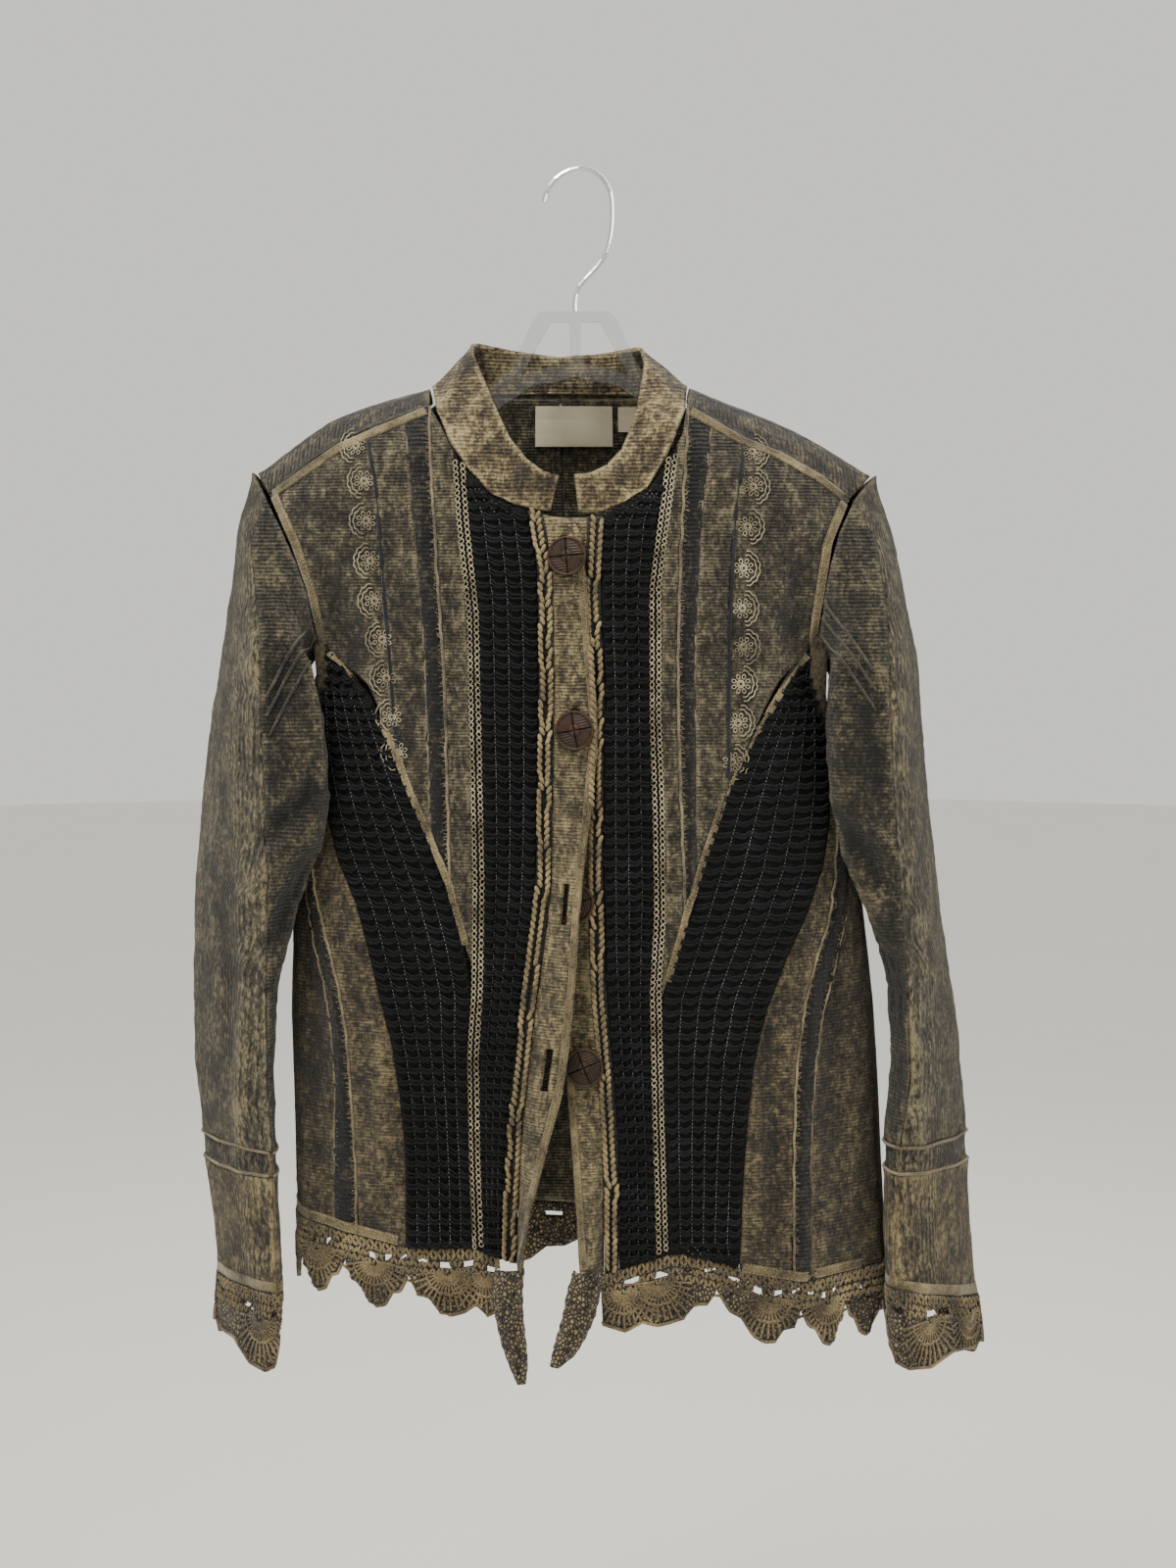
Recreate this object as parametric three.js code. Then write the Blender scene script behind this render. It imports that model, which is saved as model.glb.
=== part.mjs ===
import * as THREE from 'three';

// Washed denim jacket with a stand collar, lace trims and four buttons, on a clear plastic hanger.
// Millimetres, +Z up. The origin is where the hanger's hook rests on a rod, and the front faces -Y.
// Each cut piece of cloth is its own closed wall, with seams 0.4 to 1.2 mm wide between neighbours.

const CLOTH = 1.6;
const DOUBLED_CLOTH = 2.2;
const LACE = 1.8;
const SEAM_GAP = 0.4;
const WIDE_INSET = 0.6;
const SLEEVE_INSET = 0.45;
const SECTION_POWER = 2.6;
const SHOULDER_ROUND = 62;
const BUTTON_RADIUS = 13.5;
const BUTTON_HEIGHT = 4.6;
const BUTTON_STAND = { left: 0.4, right: 2.2 };
const WIRE_RADIUS = 1.7;
const HANGER_THICKNESS = 7;

const COLOURS = {
  cloth: 0x7c6c52,
  darkCloth: 0x4a4236,
  placket: 0x9a8760,
  mesh: 0x17181c,
  trim: 0xb8aa86,
  lace: 0x8f7a5e,
  button: 0x3c2a1e,
  label: 0xcdc3a5,
  plastic: 0xdfe4e6,
  chrome: 0xc9ccd0,
};

const group = new THREE.Group();

// Tables hold sizes in millimetres, a row for each height or place, sorted by their first column.
// Between rows the value follows a smooth curve that never overshoots them.
function lookUp(rows, at) {
  const last = rows.length - 1;
  if (at <= rows[0][0]) return rows[0][1];
  if (at >= rows[last][0]) return rows[last][1];
  const i = rows.findIndex((row, k) => k < last && at <= rows[k + 1][0]);
  const slopeOf = (k) => (rows[k + 1][1] - rows[k][1]) / (rows[k + 1][0] - rows[k][0]);
  const tangentAt = (k) => {
    if (k === 0) return slopeOf(0);
    if (k === last) return slopeOf(last - 1);
    const [before, after] = [slopeOf(k - 1), slopeOf(k)];
    return before * after <= 0 ? 0 : (2 * before * after) / (before + after);
  };
  const span = rows[i + 1][0] - rows[i][0];
  const t = (at - rows[i][0]) / span;
  const start = rows[i][1] * (1 + 2 * t) * (1 - t) ** 2 + tangentAt(i) * span * t * (1 - t) ** 2;
  return start + rows[i + 1][1] * t * t * (3 - 2 * t) - tangentAt(i + 1) * span * t * t * (1 - t);
}

function smooth(from, to, at) {
  const t = Math.min(Math.max((at - from) / (to - from), 0), 1);
  return t * t * (3 - 2 * t);
}

// Body: columns are height, then half width, front depth or back depth of the section there.
const HALF_WIDTH = [
  [-760, 206], [-745, 205], [-600, 204], [-530, 200], [-430, 190], [-380, 182], [-345, 174],
  [-335, 175], [-320, 184], [-300, 196], [-280, 206], [-250, 215], [-212, 222],
];
const FRONT_DEPTH = [[-800, 60], [-745, 62], [-600, 70], [-450, 72], [-300, 68], [-212, 60], [-150, 58]];
const BACK_DEPTH = [[-800, 56], [-745, 56], [-600, 52], [-450, 48], [-300, 46], [-212, 44], [-150, 44]];

// Shoulder line: columns are X and height of the ridge from the left tip, past the neck, to the right.
const RIDGE = [
  [-224, -212], [-200, -195], [-181, -180], [-158, -169], [-131, -160], [-104, -153],
  [-13, -120], [77, -152], [100, -161], [125, -171], [151, -181], [174, -194], [205, -214],
];
// Armholes: columns are height and X.
const ARMHOLE_LEFT = [
  [-340, -181], [-336, -177], [-330, -175], [-319, -178], [-292, -184], [-260, -197], [-228, -213], [-212, -224],
];
const ARMHOLE_RIGHT = [
  [-342, 167], [-337, 164], [-330, 163], [-306, 166], [-286, 169], [-259, 175], [-232, 187], [-214, 205],
];

function centreX(z) {
  return -10 - 0.042 * (z + 271);
}

// Soft drape folds: angle round the body, angular width, depth, and the heights between which they fade in.
const DRAPES = [
  { angle: -68, width: 9, depth: 5, from: -560, to: -745 },
  { angle: -40, width: 8, depth: -4, from: -600, to: -745 },
  { angle: -19, width: 6, depth: -5, from: -450, to: -745 },
  { angle: 15, width: 6, depth: -5, from: -480, to: -745 },
  { angle: 34, width: 8, depth: 4, from: -560, to: -745 },
  { angle: 58, width: 9, depth: -5, from: -520, to: -745 },
  { angle: 128, width: 10, depth: 6, from: -420, to: -745 },
  { angle: 158, width: 9, depth: -5, from: -380, to: -745 },
  { angle: -154, width: 10, depth: 6, from: -400, to: -745 },
  { angle: -122, width: 10, depth: -5, from: -450, to: -745 },
];

function drape(theta, z) {
  const degrees = THREE.MathUtils.radToDeg(theta);
  return DRAPES.reduce((sum, fold) => {
    const spread = (degrees - fold.angle) / fold.width;
    return sum + fold.depth * Math.exp(-spread * spread) * smooth(fold.from, fold.to, z);
  }, 0);
}

function sectionFactor(x, z) {
  const u = Math.min(Math.abs(x - centreX(z)) / lookUp(HALF_WIDTH, z), 1);
  return (1 - u ** SECTION_POWER) ** (1 / SECTION_POWER);
}

function depthAt(z, side) {
  return side < 0 ? lookUp(FRONT_DEPTH, z) : lookUp(BACK_DEPTH, z);
}

function shoulderFactor(x, z) {
  const drop = Math.min(Math.max(lookUp(RIDGE, x) - z, 0), SHOULDER_ROUND) / SHOULDER_ROUND;
  return Math.sqrt(1 - (1 - drop) ** 2);
}

// Angles run from -90 degrees at the left side seam, 0 at centre front, 90 at the right, 180 at centre back.
function thetaOf(x, z, side) {
  const u = Math.min(Math.max((x - centreX(z)) / lookUp(HALF_WIDTH, z), -1), 1);
  const front = Math.asin(Math.sign(u) * Math.abs(u) ** (SECTION_POWER / 2));
  if (side < 0) return front;
  return front >= 0 ? Math.PI - front : -Math.PI - front;
}

function xOfTheta(theta, z) {
  const sine = Math.sin(theta);
  return centreX(z) + lookUp(HALF_WIDTH, z) * Math.sign(sine) * Math.abs(sine) ** (2 / SECTION_POWER);
}

function bodyPoint(x, z, side) {
  const theta = thetaOf(x, z, side);
  const wave = drape(theta, z);
  const y = side * depthAt(z, side) * sectionFactor(x, z) * shoulderFactor(x, z);
  return new THREE.Vector3(x + wave * Math.sin(theta), y - wave * Math.cos(theta), z);
}

// The normal is the gradient of the surface's equation, in the form that is regular at that place.
function surfaceEquation(x, y, z, side, nearSide) {
  const depth = depthAt(z, side);
  if (nearSide) {
    const u = Math.abs(x - centreX(z)) / lookUp(HALF_WIDTH, z);
    return u ** SECTION_POWER + (Math.abs(y) / depth) ** SECTION_POWER - 1;
  }
  const drop = Math.min(Math.max(lookUp(RIDGE, x) - z, -4), SHOULDER_ROUND) / SHOULDER_ROUND;
  return (y / (depth * sectionFactor(x, z))) ** 2 + (1 - drop) ** 2 - 1;
}

function bodyNormal(x, z, side) {
  const factor = sectionFactor(x, z);
  const nearSide = factor < 0.35;
  const y = side * depthAt(z, side) * factor * shoulderFactor(x, z);
  const step = 0.5;
  const gradient = (dx, dy, dz) =>
    surfaceEquation(x + dx, y + dy, z + dz, side, nearSide) - surfaceEquation(x - dx, y - dy, z - dz, side, nearSide);
  const normal = new THREE.Vector3(gradient(step, 0, 0), gradient(0, step, 0), gradient(0, 0, step));
  return normal.normalize();
}

// Walls: a grid of outer points over a grid of inner points. Cells left out by keep() are open.
function wallGeometry(outer, inner, { wrap = false, keep = () => true } = {}) {
  const rows = outer.length;
  const columns = outer[0].length;
  const cellColumns = wrap ? columns : columns - 1;
  const positions = [];
  outer.forEach((row) => row.forEach((p) => positions.push(p.x, p.y, p.z)));
  inner.forEach((row) => row.forEach((p) => positions.push(p.x, p.y, p.z)));
  const half = rows * columns;
  const outerAt = (i, j) => i * columns + (j % columns);
  const innerAt = (i, j) => half + outerAt(i, j);
  const kept = (i, j) => {
    if (i < 0 || i >= rows - 1) return false;
    if (!wrap && (j < 0 || j >= cellColumns)) return false;
    return keep(i, (j + cellColumns) % cellColumns);
  };
  const index = [];
  const quad = (a, b, c, d) => index.push(a, b, c, a, c, d);
  for (let i = 0; i < rows - 1; i += 1) {
    for (let j = 0; j < cellColumns; j += 1) {
      if (kept(i, j)) {
        quad(outerAt(i, j), outerAt(i, j + 1), outerAt(i + 1, j + 1), outerAt(i + 1, j));
        quad(innerAt(i, j), innerAt(i + 1, j), innerAt(i + 1, j + 1), innerAt(i, j + 1));
        if (!kept(i - 1, j)) quad(innerAt(i, j), innerAt(i, j + 1), outerAt(i, j + 1), outerAt(i, j));
        if (!kept(i + 1, j)) quad(outerAt(i + 1, j), outerAt(i + 1, j + 1), innerAt(i + 1, j + 1), innerAt(i + 1, j));
        if (!kept(i, j - 1)) quad(outerAt(i, j), outerAt(i + 1, j), innerAt(i + 1, j), innerAt(i, j));
        if (!kept(i, j + 1)) quad(innerAt(i, j + 1), innerAt(i + 1, j + 1), outerAt(i + 1, j + 1), outerAt(i, j + 1));
      }
    }
  }
  return closedGeometry(positions, index);
}

// Keeps only the points in use, and turns every face outwards.
function closedGeometry(positions, index) {
  const point = (i) => new THREE.Vector3(positions[3 * i], positions[3 * i + 1], positions[3 * i + 2]);
  let volume = 0;
  for (let i = 0; i < index.length; i += 3) {
    volume += point(index[i]).dot(point(index[i + 1]).cross(point(index[i + 2])));
  }
  const used = new Map();
  const packed = [];
  const packedIndex = index.map((i) => {
    if (!used.has(i)) {
      used.set(i, used.size);
      packed.push(positions[3 * i], positions[3 * i + 1], positions[3 * i + 2]);
    }
    return used.get(i);
  });
  if (volume < 0) {
    for (let i = 0; i < packedIndex.length; i += 3) {
      [packedIndex[i + 1], packedIndex[i + 2]] = [packedIndex[i + 2], packedIndex[i + 1]];
    }
  }
  const geometry = new THREE.BufferGeometry();
  geometry.setAttribute('position', new THREE.Float32BufferAttribute(packed, 3));
  geometry.setIndex(packedIndex);
  geometry.computeVertexNormals();
  return geometry;
}

function addMesh(name, geometry, colour, roughness = 0.9, metalness = 0) {
  const material = new THREE.MeshStandardMaterial({ color: colour, roughness, metalness });
  const mesh = new THREE.Mesh(geometry, material);
  mesh.name = name;
  group.add(mesh);
}

// Draws a grid's border in by half the seam, so that neighbours stay a seam apart.
function drawIn(grids, half = SEAM_GAP / 2, wrap = false) {
  const pull = (grid, i, j, k, l) => {
    const towards = grid[k][l].clone().sub(grid[i][j]);
    return grid[i][j].clone().addScaledVector(towards.normalize(), half);
  };
  grids.forEach((grid) => {
    const last = grid.length - 1;
    const end = grid[0].length - 1;
    grid[0] = grid[0].map((p, j) => pull(grid, 0, j, 1, j));
    grid[last] = grid[last].map((p, j) => pull(grid, last, j, last - 1, j));
    if (wrap) return;
    grid.forEach((row, i) => {
      const first = pull(grid, i, 0, i, 1);
      const final = pull(grid, i, end, i, end - 1);
      row[0] = first;
      row[end] = final;
    });
  });
}

function evenly(count) {
  return Array.from({ length: count + 1 }, (_, i) => i / count);
}

// Angles on a back panel keep one sign where the centre-back seam crosses the middle of the section.
function turned(theta, side, hand) {
  if (side < 0) return theta;
  if (hand === 'left') return theta > 0 ? theta - 2 * Math.PI : theta;
  return theta < 0 ? theta + 2 * Math.PI : theta;
}

// A panel lies on the body between a left and a right seam, each X by height, and a top and a bottom
// border, each height by X. Relief raises its outer points only.
function panelGrid({ left, right, top, bottom, corners, across, down, side = -1, hand = 'left' }) {
  const [[topLeft, topRight], [bottomLeft, bottomRight]] = corners;
  const flat = (x, z) => ({ theta: turned(thetaOf(x, z, side), side, hand), z });
  const cornerLT = flat(left(topLeft), topLeft);
  const cornerRT = flat(right(topRight), topRight);
  const cornerLB = flat(left(bottomLeft), bottomLeft);
  const cornerRB = flat(right(bottomRight), bottomRight);
  const mix = (a, b, t) => a + (b - a) * t;
  return down.map((v) => across.map((u) => {
    const zl = mix(topLeft, bottomLeft, v);
    const zr = mix(topRight, bottomRight, v);
    const l = flat(left(zl), zl);
    const r = flat(right(zr), zr);
    const borderPoint = (from, to, height) => {
      const theta = mix(from.theta, to.theta, u);
      const chord = mix(from.z, to.z, u);
      return { theta, z: height ? height(xOfTheta(theta, chord)) : chord };
    };
    const t = borderPoint(cornerLT, cornerRT, top);
    const b = borderPoint(cornerLB, cornerRB, bottom);
    const blend = (key) => mix(l[key], r[key], u) + mix(t[key], b[key], v)
      - mix(mix(cornerLT[key], cornerRT[key], u), mix(cornerLB[key], cornerRB[key], u), v);
    const z = blend('z');
    const x = xOfTheta(blend('theta'), z);
    return { x, z, point: bodyPoint(x, z, side), normal: bodyNormal(x, z, side) };
  }));
}

function panelWalls(grid, across, down, relief, from = 0, thickness = CLOTH) {
  const raise = (node, amount) => node.point.clone().addScaledVector(node.normal, amount);
  const outer = grid.map((row, i) => row.map((node, j) => raise(node, from + relief(across[j], down[i]))));
  const inner = grid.map((row) => row.map((node) => raise(node, from - thickness)));
  return [outer, inner];
}

function addPanel(name, colour, spec) {
  const across = spec.across ?? evenly(4);
  const down = spec.down ?? evenly(14);
  const grid = panelGrid({ ...spec, across, down });
  const walls = panelWalls(grid, across, down, spec.relief ?? (() => 0));
  drawIn(walls, spec.inset);
  addMesh(name, wallGeometry(walls[0], walls[1], { keep: spec.keep }), colour);
}

// Seams of the fronts: columns are height and X, from the hem up.
const SEAMS = {
  left: {
    placket: [[-760, -41], [-703, -40], [-650, -37], [-576, -29], [-488, -18], [-354, -16], [-281, -17], [-240, -24]],
    braid: [[-760, -51], [-703, -50], [-650, -47], [-576, -39], [-488, -28], [-354, -26], [-281, -27], [-238, -34]],
    chainInner: [
      [-760, -63], [-680, -65], [-606, -66], [-562, -63], [-489, -62], [-355, -65], [-310, -66], [-248, -73], [-213, -75],
    ],
    chainOuter: [
      [-760, -71], [-680, -73], [-606, -74], [-562, -71], [-489, -70], [-355, -73], [-310, -74], [-248, -81], [-200, -84],
    ],
    stripInner: [[-500, -85], [-355, -89], [-281, -94], [-168, -101]],
    stripOuter: [[-470, -98], [-334, -103], [-286, -107], [-174, -118]],
    navy: [[-415, -121], [-301, -130], [-226, -136], [-180, -143]],
    meshInner: [
      [-560, -71.5], [-528, -77], [-489, -88], [-463, -98], [-424, -115], [-398, -125], [-362, -142], [-342, -163],
      [-330, -175],
    ],
    meshOuter: [
      [-760, -117], [-688, -116], [-622, -121], [-563, -135], [-510, -148], [-478, -162], [-430, -174], [-380, -180],
      [-337, -177],
    ],
    lowInner: [
      [-760, -151], [-699, -151], [-639, -153], [-594, -156], [-551, -164], [-511, -176], [-450, -184], [-380, -183.5],
      [-338, -179.2],
    ],
    lowOuter: [
      [-760, -166], [-686, -166], [-626, -165], [-575, -170], [-545, -178], [-512, -186], [-450, -190.5], [-380, -186],
      [-339, -180.4],
    ],
  },
  right: {
    placket: [[-760, 18], [-694, 18], [-620, 14], [-562, 9], [-488, 7], [-424, 7], [-366, 8], [-292, 5], [-245, 7]],
    braid: [[-760, 28], [-694, 28], [-620, 24], [-562, 19], [-488, 17], [-424, 17], [-366, 18], [-292, 15], [-244, 17]],
    chainInner: [[-760, 53], [-710, 52], [-650, 50], [-562, 48], [-511, 51], [-438, 50], [-380, 48], [-292, 48], [-208, 60]],
    chainOuter: [[-760, 61], [-710, 60], [-650, 58], [-562, 56], [-511, 59], [-438, 58], [-380, 56], [-292, 56], [-198, 67]],
    stripInner: [[-505, 72], [-438, 69], [-347, 67], [-270, 69], [-168, 75]],
    stripOuter: [[-500, 80], [-395, 79], [-347, 79], [-254, 83], [-174, 92]],
    navy: [[-425, 101], [-317, 102], [-239, 107], [-180, 114]],
    meshInner: [
      [-570, 56.2], [-528, 69], [-489, 80], [-450, 92], [-417, 106], [-388, 122], [-359, 140], [-342, 153], [-330, 163],
    ],
    meshOuter: [
      [-760, 109], [-674, 112], [-608, 119], [-562, 132], [-517, 153], [-486, 166], [-430, 173], [-380, 169], [-337, 164],
    ],
    lowInner: [[-760, 143], [-678, 144], [-615, 147], [-561, 156], [-508, 171], [-450, 178], [-380, 172.5], [-339, 165.5]],
    lowOuter: [[-760, 157], [-687, 157], [-631, 160], [-588, 165], [-547, 176], [-500, 186], [-440, 184], [-380, 175.5], [-341, 166.6]],
  },
};

// Borders with columns X and height, from left to right.
const YOKE_SEAM = [
  [-213, -228], [-163, -193], [-101, -168], [-13, -136], [75, -168], [111, -189], [139, -200], [164, -214], [187, -232],
];
const NECKLINE = [
  [-104, -153], [-101, -168], [-92, -183], [-84, -200], [-75, -213], [-57, -232], [-40, -239], [-19, -243],
  [1, -244], [12, -245], [27, -239], [46, -228], [60, -208], [66, -198], [72, -184], [75, -168], [78, -153],
];
const FRONT_HEM = [
  [-200, -722], [-167, -728], [-137, -735], [-117, -738], [-72, -738], [-50, -744], [-41, -746], [7, -755],
  [28, -750], [49, -744], [65, -741], [85, -745], [101, -749], [129, -757], [151, -761], [197, -759], [214, -758],
];
const BACK_HEM = [[-200, -722], [0, -740], [214, -758]];

const yokeHeight = (x) => lookUp(YOKE_SEAM, x);
const neckHeight = (x) => lookUp(NECKLINE, x);
const frontHemHeight = (x) => lookUp(FRONT_HEM, x);
const backHemHeight = (x) => lookUp(BACK_HEM, x);

// The height at which a seam reaches a border that is given by X.
function meeting(seam, border, start) {
  let z = start;
  for (let i = 0; i < 40; i += 1) z = (z + border(lookUp(seam, z))) / 2;
  return z;
}

// Ribs stand between the rows of stitching; a strip's tuft is a rounded ridge.
const ribs = (count, height) => (u) => height * Math.abs(Math.sin(Math.PI * count * u)) ** 0.7;
const ridge = (height) => (u) => height * Math.sin(Math.PI * u);
const braidRelief = (u) => 1.9 * Math.abs(Math.sin(2 * Math.PI * u));
const ribStations = (count) => evenly(count * 2);
const alongSeam = (seam) => (z) => lookUp(seam, z);

// Plackets: height, X of the free edge, and how far that edge stands before (-) or behind (+) the front.
const PLACKETS = {
  left: [
    [-760, -38, -26], [-742, -38, -25], [-683, -25, -20], [-618, -8, -13], [-553, -1, -13], [-504, 2, -14],
    [-450, 8, -10], [-387, 14, -6.5], [-330, 9, -5.5], [-271, 5, -5], [-262, 4, -5], [-246, -3, -4.5],
  ],
  right: [
    [-760, 2, -17], [-742, 1, -15], [-683, -3, -5], [-618, -8, 2], [-553, -13, 3], [-504, -14, 3],
    [-450, -14.5, 3], [-387, -13, 3], [-330, -13, 3], [-271, -13, 3], [-246, -12, 3],
  ],
};
const SLIT_HEIGHTS = [[-257, -285], [-373, -401], [-488, -516], [-598, -627]];
const SLIT_COLUMN = 2;
const PLACKET_ACROSS = [0, 0.2, 0.38, 0.6, 0.86, 1];

// Heights between -246 and the hem, with a row at each end of each buttonhole.
function placketHeights(hand) {
  const hem = meeting(SEAMS[hand].placket, frontHemHeight, -745);
  const edges = SLIT_HEIGHTS.flat();
  const heights = [-246];
  [...edges, hem].forEach((edge) => {
    const last = heights[heights.length - 1];
    const steps = Math.max(Math.round((last - edge) / 44), 1);
    for (let i = 1; i <= steps; i += 1) heights.push(last + ((edge - last) * i) / steps);
  });
  return heights;
}

// The same heights as shares of the placket's length, for the braid beside it.
function placketDown(hand) {
  const heights = placketHeights(hand);
  const [top, hem] = [heights[0], heights[heights.length - 1]];
  return heights.map((z) => (top - z) / (top - hem));
}

function addFront(hand) {
  const seams = SEAMS[hand];
  const isLeft = hand === 'left';
  const armhole = isLeft ? ARMHOLE_LEFT : ARMHOLE_RIGHT;
  const sign = isLeft ? -1 : 1;
  const sideSeam = (z) => centreX(z) + sign * lookUp(HALF_WIDTH, z);
  const at = (name) => alongSeam(seams[name]);
  const hemOf = (seam) => meeting(seam, frontHemHeight, -745);
  const neckOf = (seam) => meeting(seam, neckHeight, -220);
  const yokeOf = (seam) => meeting(seam, yokeHeight, -190);
  const meshEdge = (x) => lookUp(
    seams.meshInner.map(([z, atX]) => [atX, z]).sort((a, b) => a[0] - b[0]),
    x,
  );
  const meshOf = (seam) => meeting(seam, meshEdge, -450);
  const meshJoin = seams.meshInner[0][0];
  const longDown = placketDown(hand);
  const chainTop = neckOf(seams.chainOuter);
  const chainHeights = longDown.map((v) => chainTop + (hemOf(seams.chainOuter) - chainTop) * v);
  const stripTip = meshJoin + (isLeft ? 14 : 0);
  const stripDown = [...chainHeights.filter((z) => z > stripTip + 8), stripTip]
    .map((z) => (z - chainTop) / (stripTip - chainTop));
  const lowDown = evenly(14).map((v) => v ** 1.25);
  const meshInside = (z) => (z > meshJoin ? lookUp(seams.meshInner, z) : lookUp(seams.chainOuter, z));
  const armTop = isLeft ? -228 : -232;
  const armBottom = -330;
  const sideBottom = isLeft ? -340 : -342;

  // A piece is given from its outer seam to its inner seam, and turned so that X always rises.
  const piece = (name, colour, outerSeam, innerSeam, heights, more = {}) => {
    const [outerTop, outerBottom, innerTop, innerBottom] = heights;
    addPanel(`${name}_${hand}`, colour, {
      left: isLeft ? outerSeam : innerSeam,
      right: isLeft ? innerSeam : outerSeam,
      corners: isLeft
        ? [[outerTop, innerTop], [outerBottom, innerBottom]]
        : [[innerTop, outerTop], [innerBottom, outerBottom]],
      ...more,
    });
  };

  piece('chest', COLOURS.cloth, (z) => lookUp(armhole, z), at('navy'), [
    armTop, armBottom, yokeOf(seams.navy), meshOf(seams.navy),
  ], { top: yokeHeight, bottom: meshEdge, across: evenly(6), down: evenly(10), inset: WIDE_INSET });
  piece('middle_strip', COLOURS.cloth, at('navy'), at('stripOuter'), [
    yokeOf(seams.navy), meshOf(seams.navy), yokeOf(seams.stripOuter), meshOf(seams.stripOuter),
  ], { top: yokeHeight, bottom: meshEdge, across: evenly(2), down: evenly(11) });
  piece('raw_strip', COLOURS.darkCloth, at('stripOuter'), at('stripInner'), [
    yokeOf(seams.stripOuter), meshOf(seams.stripOuter), yokeOf(seams.stripInner), meshOf(seams.stripInner),
  ], { top: yokeHeight, bottom: meshEdge, across: evenly(2), down: evenly(11), relief: ridge(2.2) });
  piece('inner_strip', COLOURS.cloth, at('stripInner'), at('chainOuter'), [
    yokeOf(seams.stripInner), meshOf(seams.stripInner), neckOf(seams.chainOuter), stripTip,
  ], {
    top: neckHeight,
    bottom: (x) => Math.max(meshEdge(x), stripTip),
    across: evenly(2),
    down: stripDown,
    inset: WIDE_INSET,
  });
  piece('chain_trim', COLOURS.trim, at('chainOuter'), at('chainInner'), [
    neckOf(seams.chainOuter), hemOf(seams.chainOuter), neckOf(seams.chainInner), hemOf(seams.chainInner),
  ], { top: neckHeight, bottom: frontHemHeight, across: evenly(2), down: longDown, relief: ridge(1.2) });
  piece('centre_mesh', COLOURS.mesh, at('chainInner'), at('braid'), [
    neckOf(seams.chainInner), hemOf(seams.chainInner), neckOf(seams.braid), hemOf(seams.braid),
  ], { top: neckHeight, bottom: frontHemHeight, across: ribStations(4), down: longDown, relief: ribs(4, 2) });
  piece('braid', COLOURS.trim, at('braid'), at('placket'), [
    neckOf(seams.braid), hemOf(seams.braid), neckOf(seams.placket), hemOf(seams.placket),
  ], { top: neckHeight, bottom: frontHemHeight, across: evenly(4), down: longDown, relief: braidRelief });

  piece('side_mesh', COLOURS.mesh, at('meshOuter'), meshInside, [
    -337, hemOf(seams.meshOuter), armBottom, hemOf(seams.chainOuter),
  ], {
    bottom: frontHemHeight,
    across: ribStations(5),
    down: lowDown,
    relief: ribs(5, 2),
    inset: WIDE_INSET,
  });
  piece('low_front_panel', COLOURS.cloth, at('lowInner'), at('meshOuter'), [
    -338, hemOf(seams.lowInner), -337, hemOf(seams.meshOuter),
  ], { bottom: frontHemHeight, across: evenly(2), down: lowDown });
  piece('low_raw_strip', COLOURS.darkCloth, at('lowOuter'), at('lowInner'), [
    seams.lowOuter[seams.lowOuter.length - 1][0], hemOf(seams.lowOuter), -338, hemOf(seams.lowInner),
  ], { bottom: frontHemHeight, across: evenly(2), down: lowDown, relief: (u, v) => ridge(2)(u) * smooth(0.05, 0.25, v) });
  piece('side_panel', COLOURS.cloth, sideSeam, at('lowOuter'), [
    sideBottom, frontHemHeight(sign * 206), seams.lowOuter[seams.lowOuter.length - 1][0], hemOf(seams.lowOuter),
  ], { bottom: frontHemHeight, across: evenly(3), down: lowDown });

  // The scalloped lace lies on the chest beside the dark tape: lobes 26 mm apart, 15 mm deep.
  const lobes = 6;
  const rows = lobes * 4;
  const topZ = yokeOf(seams.navy) - 6;
  const bottomZ = topZ - lobes * 26;
  const lacePoint = (u, v) => {
    const z = topZ + (bottomZ - topZ) * v;
    const reach = 5 + 10 * Math.abs(Math.sin(Math.PI * lobes * v));
    const x = lookUp(seams.navy, z) + sign * (1 + reach * u);
    return { point: bodyPoint(x, z, -1), normal: bodyNormal(x, z, -1) };
  };
  const laceAcross = evenly(2);
  const laceDown = evenly(rows);
  const laceGrid = laceDown.map((v) => laceAcross.map((u) => lacePoint(u, v)));
  const laceWalls = panelWalls(laceGrid, laceAcross, laceDown, () => 0, isLeft ? 2.7 : 2.2, 1.4);
  addMesh(`scallop_lace_${hand}`, wallGeometry(laceWalls[0], laceWalls[1]), COLOURS.trim);
}

addFront('left');
addFront('right');

function placketPoint(hand, u, z) {
  const rows = PLACKETS[hand];
  const edgeX = lookUp(rows.map((row) => [row[0], row[1]]), z);
  const stand = lookUp(rows.map((row) => [row[0], row[2]]), z);
  const seamX = lookUp(SEAMS[hand].placket, z);
  const x = seamX + (edgeX - seamX) * u;
  const base = bodyPoint(seamX, z, -1);
  const depth = bodyPoint(x, z, -1).y - base.y;
  return new THREE.Vector3(x, base.y + depth + stand * Math.sin((Math.PI / 2) * u) ** 0.9, z);
}

function placketNormal(hand, u, z) {
  const step = 0.03;
  const along = placketPoint(hand, Math.min(u + step, 1), z).sub(placketPoint(hand, Math.max(u - step, 0), z));
  if (hand === 'left') along.negate();
  const down = placketPoint(hand, u, z - 2).sub(placketPoint(hand, u, z + 2));
  const own = along.cross(down).normalize();
  if (own.y > 0) own.negate();
  const seamNormal = bodyNormal(lookUp(SEAMS[hand].placket, z), z, -1);
  return seamNormal.lerp(own, smooth(0, 0.35, u)).normalize();
}

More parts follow.
